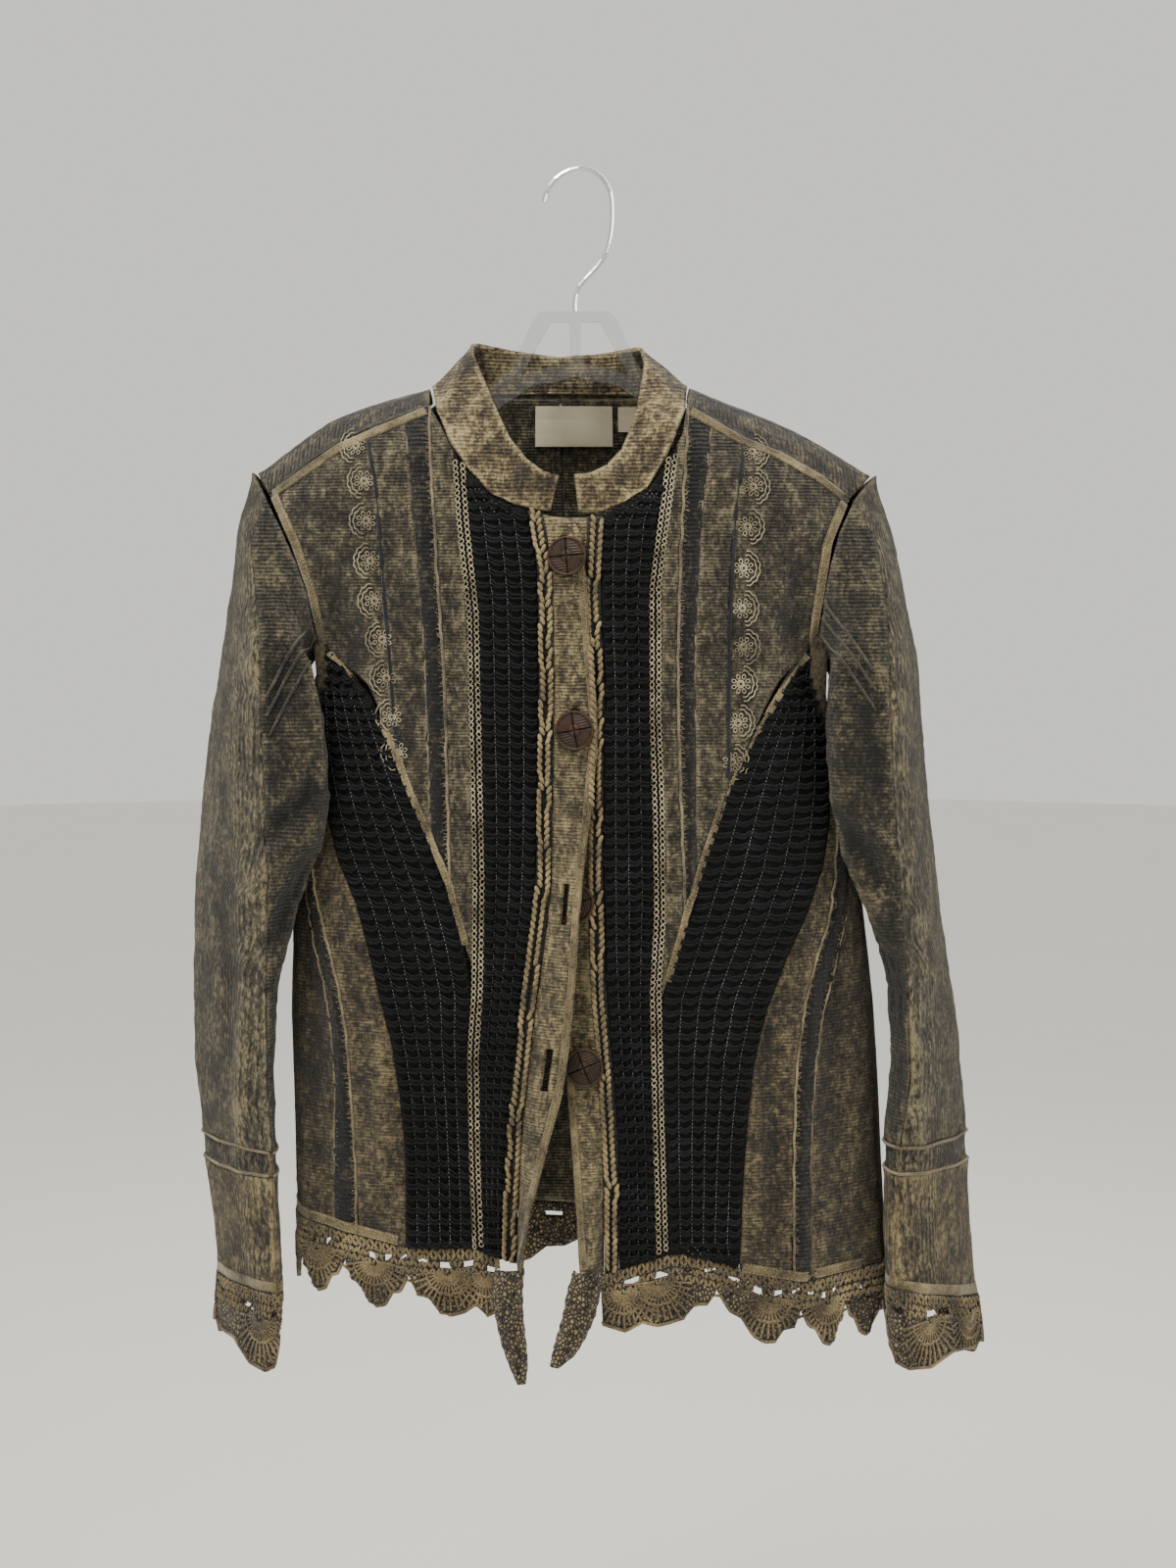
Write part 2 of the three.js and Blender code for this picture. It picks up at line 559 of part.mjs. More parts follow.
function addPlacket(hand) {
  const heights = placketHeights(hand);
  const top = heights[0];
  const atTop = (u, z) => (z === top ? Math.min(neckHeight(placketPoint(hand, u, z).x) - 0.5, -243) - 2 * u : z);
  const nodes = heights.map((z) => PLACKET_ACROSS.map((u) => {
    const height = atTop(u, z);
    return { point: placketPoint(hand, u, height), normal: placketNormal(hand, u, height) };
  }));
  const walls = [0, -DOUBLED_CLOTH].map((amount) => nodes.map((row) => row.map(
    (node) => node.point.clone().addScaledVector(node.normal, amount),
  )));
  drawIn(walls);
  const slitRows = SLIT_HEIGHTS.map(([upper]) => heights.findIndex((z) => Math.abs(z - upper) < 0.01));
  const isSlit = (i, j) => hand === 'left' && j === SLIT_COLUMN && slitRows.includes(i);
  addMesh(`placket_${hand}`, wallGeometry(walls[0], walls[1], { keep: (i, j) => !isSlit(i, j) }), COLOURS.placket);
}

addPlacket('left');
addPlacket('right');

// Yokes run over the shoulder ridge from the front seam to the back seam.
const BACK_YOKE_DROP = 46;

function angleOfDrop(drop) {
  return Math.acos(1 - Math.min(drop, SHOULDER_ROUND) / SHOULDER_ROUND);
}

// The back yoke's seam rises from the armhole to the neck.
function backYokeHeight(x) {
  const armX = x < centreX(-212) ? -205 : 186;
  const neckX = x < centreX(-212) ? -102 : 76;
  const t = Math.min(Math.max((x - neckX) / (armX - neckX), 0), 1);
  const neckEnd = lookUp(RIDGE, neckX) - 8;
  return neckEnd + t * (lookUp(RIDGE, armX) - BACK_YOKE_DROP - neckEnd);
}

function addYoke(hand) {
  const isLeft = hand === 'left';
  const armhole = isLeft ? ARMHOLE_LEFT : ARMHOLE_RIGHT;
  const tip = armhole[armhole.length - 1][0];
  const tipX = armhole[armhole.length - 1][1];
  const neckX = isLeft ? -104 : 78;
  const across = evenly(8);
  const around = evenly(8);
  const endX = (height) => lookUp(armhole, Math.min(height, tip));
  const seamHeight = (x, front) => (front ? yokeHeight(x) : backYokeHeight(x));
  const nodes = around.map((v) => across.map((u) => {
    const front = v < 0.5;
    const share = Math.abs(v - 0.5) * 2;
    let x = neckX + (tipX - neckX) * u;
    let z = lookUp(RIDGE, x);
    for (let i = 0; i < 12; i += 1) {
      const seam = seamHeight(x, front);
      const angle = angleOfDrop(Math.max(lookUp(RIDGE, x) - seam, 0)) * share;
      z = lookUp(RIDGE, x) - SHOULDER_ROUND * (1 - Math.cos(angle));
      const neckEdge = neckX + (front ? 3 : 1) * share * (isLeft ? 1 : -1);
      x = neckEdge + (endX(z) - neckEdge) * u;
    }
    const side = front ? -1 : 1;
    return { point: bodyPoint(x, z, side), normal: bodyNormal(x, z, side) };
  }));
  const walls = panelWalls(nodes, across, around, () => 0);
  drawIn(walls, WIDE_INSET);
  addMesh(`yoke_${hand}`, wallGeometry(walls[0], walls[1]), COLOURS.darkCloth);
}

addYoke('left');
addYoke('right');

// Backs meet at the centre-back seam.
const BACK_NECK_HEIGHT = -156;
const backSeamX = (z) => -13 + (18 * (z - BACK_NECK_HEIGHT)) / (-740 - BACK_NECK_HEIGHT);

function addBack(hand) {
  const isLeft = hand === 'left';
  const armhole = isLeft ? ARMHOLE_LEFT : ARMHOLE_RIGHT;
  const sign = isLeft ? -1 : 1;
  const armpit = armhole[0][0];
  const outside = (z) => (z > armpit ? lookUp(armhole, z) : centreX(z) + sign * lookUp(HALF_WIDTH, z));
  const outerTop = meeting(armhole, backYokeHeight, -250);
  const outerBottom = backHemHeight(sign * 206);
  const neckX = isLeft ? -103 : 77;
  const topBorder = (x) => {
    const t = Math.min(Math.max((x - neckX) / (backSeamX(BACK_NECK_HEIGHT) - neckX), 0), 1);
    if (t === 0) return backYokeHeight(x);
    return backYokeHeight(neckX) + (BACK_NECK_HEIGHT - backYokeHeight(neckX)) * smooth(0, 0.16, t);
  };
  const knee = (outerTop - armpit) / (outerTop - outerBottom);
  const down = [...evenly(7).map((v) => v * knee), ...evenly(10).slice(1).map((v) => knee + v * (1 - knee))];
  addPanel(`back_${hand}`, COLOURS.cloth, {
    left: isLeft ? outside : backSeamX,
    right: isLeft ? backSeamX : outside,
    corners: isLeft
      ? [[outerTop, BACK_NECK_HEIGHT], [outerBottom, backHemHeight(5)]]
      : [[BACK_NECK_HEIGHT, outerTop], [backHemHeight(5), outerBottom]],
    top: topBorder,
    bottom: backHemHeight,
    across: evenly(8),
    down,
    side: 1,
    hand,
    inset: WIDE_INSET,
  });
}

addBack('left');
addBack('right');

// Collar: a standing band from the left front end, round the back, to the right front end.
// Columns are X and height of its foot, X, Y and height of its top edge, and the side it stands on.
const COLLAR = [
  { foot: [-19, -243], top: [-13, -64, -217], side: -1 },
  { foot: [-30, -241.5], top: [-23, -64, -214], side: -1 },
  { foot: [-44, -238], top: [-35, -59, -205], side: -1 },
  { foot: [-59, -231], top: [-47, -50, -189], side: -1 },
  { foot: [-75, -213], top: [-57, -38, -167], side: -1 },
  { foot: [-87, -194], top: [-66, -24, -146], side: -1 },
  { foot: [-97, -173], top: [-73, -9, -129], side: -1 },
  { foot: [-104, -153], top: [-75, 7, -121], side: -1 },
  { foot: [-100, -155], top: [-70, 21, -119], side: 1 },
  { foot: [-84, -158], top: [-56, 32, -121], side: 1 },
  { foot: [-58, -157], top: [-38, 40, -124], side: 1 },
  { foot: [-13, -156], top: [-14, 43, -127], side: 1 },
  { foot: [32, -157], top: [12, 40, -125], side: 1 },
  { foot: [58, -158], top: [30, 32, -123], side: 1 },
  { foot: [74, -155], top: [41, 20, -122], side: 1 },
  { foot: [78, -153], top: [45, 6, -124], side: -1 },
  { foot: [74.5, -172], top: [46, -10, -136], side: -1 },
  { foot: [68, -188.5], top: [43, -26, -158], side: -1 },
  { foot: [61, -206], top: [38, -39, -179], side: -1 },
  { foot: [48, -227], top: [30, -50, -198], side: -1 },
  { foot: [32, -237], top: [20, -57, -209], side: -1 },
  { foot: [15, -244], top: [8, -62, -215], side: -1 },
  { foot: [1, -244], top: [-2, -64, -216], side: -1 },
];
const COLLAR_CLEARANCE = 2.7;
const ARMHOLE_CLEARANCE = 2.6;

function addCollar() {
  const feet = COLLAR.map(({ foot: [x, z], side }) => bodyPoint(x, z, side));
  const tops = COLLAR.map(({ top }) => new THREE.Vector3(...top));
  const across = [0, 0.35, 0.7, 1];
  const centre = new THREE.Vector3(-13, -10, -150);
  const outer = across.map((v) => feet.map((foot, i) => {
    const lift = tops[i].clone().sub(foot);
    const start = foot.clone().addScaledVector(lift.clone().normalize(), COLLAR_CLEARANCE);
    return start.lerp(tops[i], v);
  }));
  const inner = outer.map((row, v) => row.map((p, i) => {
    const along = row[Math.min(i + 1, row.length - 1)].clone().sub(row[Math.max(i - 1, 0)]);
    const up = outer[Math.min(v + 1, 3)][i].clone().sub(outer[Math.max(v - 1, 0)][i]);
    const normal = along.cross(up).normalize();
    if (normal.dot(centre.clone().sub(p)) < 0) normal.negate();
    return p.clone().addScaledVector(normal, DOUBLED_CLOTH);
  }));
  addMesh('collar', wallGeometry(outer, inner), COLOURS.placket);
}

addCollar();

// Sleeves: each ring passes the front crease, the outer line, the back, the inner line by the body, a
// hollow that clears the body's side, and the lip in front of the body. X grows away from the body's middle. Heights fall down the arm.
const SLEEVE_RINGS = {
  left: [
    { crease: [222, -42, -262], outer: [236, 4, -245], back: [222, 42, -262], inner: [192, 0, -354], lip: [190, -54, -326] },
    { crease: [215, -60, -300], outer: [242, 5, -292], back: [226, 52, -300], inner: [196, 2, -374], lip: [176, -60, -354] },
    { crease: [211, -72, -342], outer: [249, 6, -340], back: [232, 54, -342], inner: [200, 2, -394], lip: [168, -62, -388] },
    { crease: [209, -76, -400], outer: [259, 6, -400], back: [237, 54, -397], inner: [205, 2, -432], lip: [166, -64, -430] },
    { crease: [207, -74, -450], outer: [264, 8, -450], back: [244, 55, -450], inner: [208, 3, -470], lip: [172, -62, -466] },
    { crease: [207, -70, -505], outer: [269, 10, -505], back: [250, 54, -505], inner: [211, 4, -512], lip: [190, -52, -508] },
    { crease: [209, -65, -562], outer: [271, 12, -562], back: [254, 52, -562], inner: [215, 8, -562], lip: [206, -42, -562] },
    { crease: [209, -60, -620], outer: [270, 12, -620], back: [255, 50, -620], inner: [218, 10, -620], lip: [209, -38, -620] },
    { crease: [206, -57, -672], outer: [264, 11, -674], back: [252, 47, -672], inner: [218, 10, -672], lip: [208, -35, -672] },
    { crease: [206, -57, -690], outer: [262, 11, -694], back: [250, 46, -692], inner: [217, 10, -690], lip: [207, -34, -690] },
    { crease: [205, -54, -730], outer: [256, 9, -734], back: [246, 44, -733], inner: [216, 9, -730], lip: [206, -32, -730] },
    { crease: [203, -52, -770], outer: [252, 8, -774], back: [243, 42, -773], inner: [214, 8, -770], lip: [206, -32, -770] },
    { crease: [207, -52, -822], outer: [256, 8, -826], back: [246, 42, -825], inner: [216, 8, -822], lip: [209, -32, -822] },
  ],
  right: [
    { crease: [203, -42, -264], outer: [217, 4, -247], back: [205, 42, -264], inner: [178, 0, -356], lip: [176, -52, -328] },
    { crease: [207, -58, -302], outer: [227, 5, -294], back: [212, 52, -302], inner: [184, 2, -376], lip: [170, -60, -354] },
    { crease: [208, -70, -347], outer: [237, 6, -344], back: [220, 54, -347], inner: [191, 2, -394], lip: [167, -62, -392] },
    { crease: [209, -74, -402], outer: [242, 6, -402], back: [228, 54, -402], inner: [199, 2, -434], lip: [170, -62, -432] },
    { crease: [212, -72, -452], outer: [246, 8, -452], back: [233, 54, -452], inner: [205, 3, -472], lip: [179, -60, -470] },
    { crease: [216, -68, -505], outer: [252, 10, -505], back: [239, 52, -505], inner: [211, 4, -512], lip: [197, -52, -508] },
    { crease: [221, -65, -565], outer: [262, 12, -565], back: [247, 50, -565], inner: [219, 8, -563], lip: [213, -42, -563] },
    { crease: [224, -62, -622], outer: [269, 12, -624], back: [253, 48, -622], inner: [223, 8, -620], lip: [215, -40, -620] },
    { crease: [217, -59, -668], outer: [273, 11, -674], back: [256, 47, -672], inner: [224, 8, -668], lip: [210, -38, -668] },
    { crease: [216, -58, -688], outer: [274, 11, -696], back: [257, 46, -693], inner: [224, 8, -688], lip: [210, -37, -688] },
    { crease: [215, -56, -728], outer: [275, 9, -740], back: [259, 44, -736], inner: [225, 8, -729], lip: [211, -36, -728] },
    { crease: [214, -54, -766], outer: [280, 8, -790], back: [263, 42, -784], inner: [226, 8, -770], lip: [213, -35, -767] },
    { crease: [217, -54, -818], outer: [286, 8, -842], back: [268, 42, -836], inner: [229, 8, -822], lip: [215, -35, -819] },
  ],
};
const HOLLOW_SHARE = 0.7;
const HOLLOW_Y = -30;

// Round the armhole: share of the ring, drop below the shoulder tip as a share of the armhole, and side.
const ARMHOLE_ROUTE = {
  drop: [
    [0, 0.14], [0.083, 0.04], [0.167, 0], [0.25, 0.04], [0.333, 0.14], [0.42, 0.6], [0.5, 1],
    [0.583, 0.93], [0.667, 0.85], [0.75, 0.74], [0.833, 0.58], [0.917, 0.35], [1, 0.14],
  ],
  backFrom: 0.167,
  backTo: 0.5,
};

function armholePoint(hand, s) {
  const armhole = hand === 'left' ? ARMHOLE_LEFT : ARMHOLE_RIGHT;
  const bottom = armhole[0][0];
  const tip = armhole[armhole.length - 1][0];
  const z = tip + (bottom - tip) * lookUp(ARMHOLE_ROUTE.drop, s);
  const side = s > ARMHOLE_ROUTE.backFrom && s < ARMHOLE_ROUTE.backTo ? 1 : -1;
  const x = lookUp(armhole, z);
  return { point: bodyPoint(x, z, side), normal: bodyNormal(x, z, side) };
}

function ringCurve(hand, ring) {
  const sign = hand === 'left' ? -1 : 1;
  const row = SLEEVE_RINGS[hand][ring];
  const hollow = [0, 1, 2].map((k) => row.lip[k] + (row.inner[k] - row.lip[k]) * HOLLOW_SHARE);
  hollow[1] = Math.max(row.lip[1] * 0.5, HOLLOW_Y);
  const points = [row.crease, row.outer, row.back, row.inner, hollow, row.lip].map(
    ([x, y, z]) => new THREE.Vector3(sign * x, y, z),
  );
  return new THREE.CatmullRomCurve3(points, true, 'centripetal');
}

// A sleeve's rows of outer points; place 0 is the armhole and place 1 the first ring of the table.
function sleeveRow(hand, place, shares) {
  const upper = Math.floor(place);
  const t = place - upper;
  const sign = hand === 'left' ? -1 : 1;
  const startAt = (s) => {
    const { point } = armholePoint(hand, s);
    return point.add(new THREE.Vector3(sign * ARMHOLE_CLEARANCE, 0, 0));
  };
  const pointOf = (ring, s) => {
    if (ring === 0) return startAt(s);
    return ringCurve(hand, ring - 1).getPoint(s % 1);
  };
  return shares.map((s) => (t === 0 ? pointOf(upper, s) : pointOf(upper, s).lerp(pointOf(upper + 1, s), t)));
}

// Inner points stand a wall's thickness inside the outer ones, square to the whole sleeve's surface.
function sleeveWalls(hand, places, shares, relief = () => 0, thickness = CLOTH) {
  const step = 0.01;
  const rowOf = (place, offset) => sleeveRow(hand, place, shares.map((s) => (s + offset + 1) % 1));
  const last = SLEEVE_RINGS[hand].length;
  const rows = places.map((place) => sleeveRow(hand, place, shares));
  const normals = places.map((place) => {
    const ahead = rowOf(place, step);
    const behind = rowOf(place, -step);
    const below = sleeveRow(hand, Math.min(place + 0.5, last), shares);
    const above = sleeveRow(hand, Math.max(place - 0.5, 0), shares);
    return shares.map((s, j) => {
      const normal = ahead[j].sub(behind[j]).cross(below[j].sub(above[j])).normalize();
      return hand === 'left' ? normal.negate() : normal;
    });
  });
  const shift = (amount) => rows.map((row, i) => row.map((p, j) => p.clone().addScaledVector(
    normals[i][j], amount(shares[j], i),
  )));
  return [shift((s, i) => relief(s, i)), shift(() => -thickness)];
}

const CREASE_SHARE = 0;
const BACK_STRIP_SHARE = 0.31;
const BACK_SHARE = 1 / 3;
const UPPER_PLACES = [0, 0.5, 1, 2, 3, 4, 5, 6, 7, 8, 9];

function between(from, to, count) {
  return evenly(count).map((t) => from + (to - from) * t);
}

function addSleevePiece(name, hand, colour, places, shares, options = {}) {
  const walls = sleeveWalls(hand, places, shares, options.relief, options.thickness);
  drawIn(walls, SLEEVE_INSET, options.wrap);
  addMesh(`${name}_${hand}`, wallGeometry(walls[0], walls[1], { wrap: options.wrap }), colour);
}

function addSleeve(hand) {
  const wholeRing = evenly(18).slice(0, 18);
  const stripMiddle = (BACK_STRIP_SHARE + BACK_SHARE) / 2;
  addSleevePiece('sleeve_top', hand, COLOURS.cloth, UPPER_PLACES, between(CREASE_SHARE, BACK_STRIP_SHARE, 6));
  addSleevePiece('sleeve_under', hand, COLOURS.cloth, UPPER_PLACES, between(BACK_SHARE, 1, 10));
  addSleevePiece('sleeve_raw_strip', hand, COLOURS.darkCloth, UPPER_PLACES, [
    BACK_STRIP_SHARE, stripMiddle, BACK_SHARE,
  ], { relief: (s) => (s === stripMiddle ? 2 : 0) });
  addSleevePiece('sleeve_band', hand, COLOURS.darkCloth, [9, 9.5, 10], wholeRing, {
    relief: (s, i) => (i === 1 ? 2 : 1), thickness: 1, wrap: true,
  });
  addSleevePiece('cuff', hand, COLOURS.cloth, [10, 11, 12], wholeRing, { wrap: true });
  addCuffLace(hand);
}

// Lace hangs in fans: each lobe is deep in its middle and has three small scallops along its edge.
// Share of the full depth at each step across one lobe.
const LOBE_STEPS = 8;
const LOBE_DEPTHS = [0.42, 0.68, 0.72, 0.95, 1, 0.95, 0.72, 0.68];
const LACE_ROWS = [0, 0.2, 0.32, 1];
const isLaceHole = (i, j) => {
  const step = j % LOBE_STEPS;
  return i === 1 && step % 2 === 1;
};

function addCuffLace(hand) {
  const halves = { front: [0.62, 1.16], back: [0.16, 0.62] };
  Object.entries(halves).forEach(([half, [from, to]]) => {
    const columns = LOBE_STEPS * 2;
    const shares = between(from, to, columns);
    const wrapped = shares.map((s) => s % 1);
    const depth = (j) => LOBE_DEPTHS[j % LOBE_STEPS];
    const rows = LACE_ROWS.map((v) => {
      const [outer, inner] = sleeveWalls(hand, [12 + v * 0.999], wrapped, undefined, LACE);
      return { outer: outer[0], inner: inner[0] };
    });
    const shorten = (key) => rows.map((row, i) => row[key].map((p, j) => {
      const start = rows[0][key][j];
      return start.clone().lerp(p, i === 0 ? 1 : depth(j));
    }));
    const walls = [shorten('outer'), shorten('inner')];
    drawIn(walls);
    const geometry = wallGeometry(walls[0], walls[1], { keep: (i, j) => !isLaceHole(i, j) });
    addMesh(`cuff_lace_${half}_${hand}`, geometry, COLOURS.lace);
  });
}

addSleeve('left');
addSleeve('right');

// Hem lace continues the body's surface below the hem: columns run round it by angle.
const LACE_DEPTH = 46;

function addHemLace(name, from, to, lobes, tail) {
  const columns = lobes * LOBE_STEPS;
  const thetas = between(from, to, columns).map((degrees) => THREE.MathUtils.degToRad(degrees));
  const nodes = LACE_ROWS.map((v) => thetas.map((theta, j) => {
    const side = Math.cos(theta) >= 0 ? -1 : 1;
    const startX = xOfTheta(theta, -745);
    const start = side < 0 ? frontHemHeight(startX) : backHemHeight(startX);
    const depth = LACE_DEPTH * LOBE_DEPTHS[j % LOBE_STEPS] + tail(j / columns);
    const z = start - depth * v;
    const x = xOfTheta(theta, z);
    const point = bodyPoint(x, z, side);
    point.y -= FLARE * flareShare(x, side);
    return { point, normal: bodyNormal(x, z, side) };
  }));
  const walls = [0, -LACE].map((amount) => nodes.map((row) => row.map(
    (node) => node.point.clone().addScaledVector(node.normal, amount),
  )));
  drawIn(walls);
  addMesh(name, wallGeometry(walls[0], walls[1], { keep: (i, j) => !isLaceHole(i, j) }), COLOURS.lace);
}

// The fronts' corners flare forward beside the opening, with the plackets.
const FLARE = 18;
const OPENING_X = -12;
const FLARE_REACH = 36;
const FLARE_FULL = 6;
const flareShare = (x, side) => (side < 0 ? smooth(FLARE_REACH, FLARE_FULL, Math.abs(x - OPENING_X)) : 0);

addHemLace('hem_lace_left', -89.6, -12.5, 4, (t) => 16 * smooth(0.9, 1, t));
addHemLace('hem_lace_right', 0.5, 89.6, 5, (t) => 14 * smooth(0.1, 0, t));
addHemLace('hem_lace_back', 90.4, 269.6, 8, () => 0);

// Buttons: a domed disc with a raised rim, and a shank behind it.
const BUTTONS = [
  { name: 'button_1', hand: 'left', z: -271 },
  { name: 'button_2', hand: 'left', z: -387 },
  { name: 'button_3', hand: 'right', z: -502 },
  { name: 'button_4', hand: 'right', z: -612 },
];
const BUTTON_PLACE = { left: 0.49, right: 0.4 };

function buttonGeometry() {
  const rim = BUTTON_RADIUS;
  const profile = [
    [0, 0], [rim * 0.8, 0], [rim, 1.4], [rim, 2.6], [rim * 0.88, BUTTON_HEIGHT - 0.6], [rim * 0.72, BUTTON_HEIGHT - 1.2],
    [rim * 0.3, BUTTON_HEIGHT - 0.3], [0, BUTTON_HEIGHT],
  ].map(([r, y]) => new THREE.Vector2(r, y));
  const geometry = new THREE.LatheGeometry(profile, 14);
  geometry.deleteAttribute('normal');
  geometry.deleteAttribute('uv');
  return geometry;
}

BUTTONS.forEach(({ name, hand, z }) => {
  const u = BUTTON_PLACE[hand];
  const normal = placketNormal(hand, u, z);
  const point = placketPoint(hand, u, z).addScaledVector(normal, BUTTON_STAND[hand]);
  const mesh = new THREE.Mesh(
    buttonGeometry(),
    new THREE.MeshStandardMaterial({ color: COLOURS.button, roughness: 0.45, metalness: 0 }),
  );
  mesh.name = name;
  mesh.position.copy(point);
  mesh.quaternion.setFromUnitVectors(new THREE.Vector3(0, 1, 0), normal);
  group.add(mesh);
});

// Neck label and size tag lie on the inside of the back, below the neck seam.
const LABELS = [
  { name: 'neck_label', x: [-31, 25], z: [-161, -191], gap: 2.4 },
  { name: 'size_tag', x: [29, 46], z: [-162, -180], gap: 0.9 },
];
const LABEL_THICKNESS = 0.8;

LABELS.forEach(({ name, x: [fromX, toX], z: [topZ, bottomZ], gap }) => {
  const walls = [-CLOTH - gap, -CLOTH - gap - LABEL_THICKNESS].map((amount) => evenly(3).map((v) => evenly(4).map((u) => {
    const [x, z] = [fromX + (toX - fromX) * u, topZ + (bottomZ - topZ) * v];
    return bodyPoint(x, z, 1).addScaledVector(bodyNormal(x, z, 1), amount);
  })));
  addMesh(name, wallGeometry(walls[0], walls[1]), COLOURS.label);
});

// Hanger: a flat plastic frame with a stem between two windows, and an arm to each shoulder.
const HANGER_HALF_WIDTH = 200;
const ARM_DEPTH = 13;
const ARM_CLEARANCE = 4.4;
const ARM_STATIONS = [60, 97, 110, 135, 160, 180, 200];
const HANGER_CENTRE = -2;
const WINDOW = [[4, -106], [17, -106], [26, -122], [37, -143], [22, -139], [4, -135]];

function hangerShape() {
  const shape = new THREE.Shape();
  const armTop = (x) => lookUp(RIDGE, HANGER_CENTRE + x) - ARM_CLEARANCE;
  const right = ARM_STATIONS.filter((x) => HANGER_CENTRE + x < 190);
  const left = ARM_STATIONS.filter((x) => HANGER_CENTRE - x > -HANGER_HALF_WIDTH - 5);
  const at = (x, z) => shape.lineTo(HANGER_CENTRE + x, z);
  shape.moveTo(HANGER_CENTRE - 24, -99);
  at(24, -99);
  at(30, -106);
  at(44, -138);
  at(66, -158);
  right.slice(1).forEach((x) => at(x, armTop(x)));
  [...right].slice(1).reverse().forEach((x) => at(x, armTop(x) - ARM_DEPTH));
  at(58, -170);
  at(28, -150);
  at(0, -145);
  at(-28, -150);
  at(-58, -170);
  left.slice(1).forEach((x) => at(-x, armTop(-x) - ARM_DEPTH));
  [...left].slice(1).reverse().forEach((x) => at(-x, armTop(-x)));
  at(-66, -158);
  at(-44, -138);
  at(-30, -106);
  shape.closePath();
  [1, -1].forEach((sign) => {
    const hole = new THREE.Path();
    const corners = sign > 0 ? [...WINDOW].reverse() : WINDOW;
    corners.forEach(([x, z], i) => {
      const place = [HANGER_CENTRE + sign * x, z];
      if (i === 0) hole.moveTo(...place);
      else hole.lineTo(...place);
    });
    hole.closePath();
    shape.holes.push(hole);
  });
  return shape;
}

const hangerGeometry = new THREE.ExtrudeGeometry(hangerShape(), {
  depth: HANGER_THICKNESS, bevelEnabled: false, steps: 1,
});
hangerGeometry.translate(0, 0, -HANGER_THICKNESS / 2);
hangerGeometry.rotateX(Math.PI / 2);
addMesh('hanger', hangerGeometry, COLOURS.plastic, 0.15);

// Hook: chrome wire from the frame's top, up and over the rod, to a tip that turns down.
const HOOK_ROUTE = [
  [-2, -98.5], [-2, -90], [1, -81], [10, -71], [18, -61], [22.5, -47], [24, -30], [22.5, -15], [16, -4], [8, 0.8],
  [0, WIRE_RADIUS], [-9, -1], [-17, -7], [-22, -15], [-24, -22],
];
const WIRE_SIDES = 7;
const hookPath = new THREE.CatmullRomCurve3(HOOK_ROUTE.map(([x, z]) => new THREE.Vector3(x, 0, z)));
const wireSection = new THREE.Shape(
  evenly(WIRE_SIDES).slice(0, WIRE_SIDES).map((t) => new THREE.Vector2(
    WIRE_RADIUS * Math.cos(2 * Math.PI * t),
    WIRE_RADIUS * Math.sin(2 * Math.PI * t),
  )),
);
addMesh('hook', new THREE.ExtrudeGeometry(wireSection, { steps: 26, extrudePath: hookPath }), COLOURS.chrome, 0.15, 1);

export default group;
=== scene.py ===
# %% [markdown]
# # A patchwork denim jacket on its hanger
# The real jacket is some forty small pieces of washed cotton sewn edge to edge, with
# trims laid over the seams and crochet lace hung from the hem and cuffs. The frame
# already holds each piece as a thin plain wall of cloth. This lesson gives each wall
# its creases and its finish, then lays the trims, lace, stitches and buttons on it.

# %% The frame
import math
import random

import bmesh
import bpy
import numpy as np
from mathutils import Matrix, Vector, noise
from mathutils.bvhtree import BVHTree
from mathutils.kdtree import KDTree


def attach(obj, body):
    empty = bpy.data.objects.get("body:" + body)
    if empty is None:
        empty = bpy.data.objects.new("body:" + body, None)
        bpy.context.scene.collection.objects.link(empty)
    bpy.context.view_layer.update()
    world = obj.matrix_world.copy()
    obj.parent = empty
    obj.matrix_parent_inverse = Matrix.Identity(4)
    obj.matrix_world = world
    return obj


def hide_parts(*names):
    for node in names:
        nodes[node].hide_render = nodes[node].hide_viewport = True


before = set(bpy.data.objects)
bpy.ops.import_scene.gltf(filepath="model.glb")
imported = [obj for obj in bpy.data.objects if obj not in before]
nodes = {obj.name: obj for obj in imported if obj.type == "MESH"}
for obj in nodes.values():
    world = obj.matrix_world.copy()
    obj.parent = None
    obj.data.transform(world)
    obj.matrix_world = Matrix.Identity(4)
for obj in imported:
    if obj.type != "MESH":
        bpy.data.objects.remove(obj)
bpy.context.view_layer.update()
MM = 0.001
print("frame nodes:", len(nodes))

# %% [markdown]
# The photograph was taken level with the button band, a step and a half away. A long
# lens with a small downward shift gives the same view without tilting the jacket.

# %% Camera
camera_data = bpy.data.cameras.new("photographer")
camera_data.lens = 48.9
camera_data.sensor_width = 36
camera_data.shift_y = -0.13
camera = bpy.data.objects.new("photographer", camera_data)
camera.location = (0.007, -1.493, -0.287)
camera.rotation_euler = (math.radians(90), 0, 0)
bpy.context.scene.collection.objects.link(camera)
bpy.context.scene.camera = camera
print("camera at", tuple(camera.location))

# %% [markdown]
# Shader nodes are easier to read as sums. `Signal` wraps one output socket, so that
# `1 - mask * 0.4` adds the Math nodes by itself. `Finish` adds every other node.

# %% Signals and finishes
def tone(red, green, blue):
    """A screen colour of 0 to 255 as the linear colour that shaders use."""
    return tuple((c / 255) ** 2.2 for c in (red, green, blue)) + (1.0,)


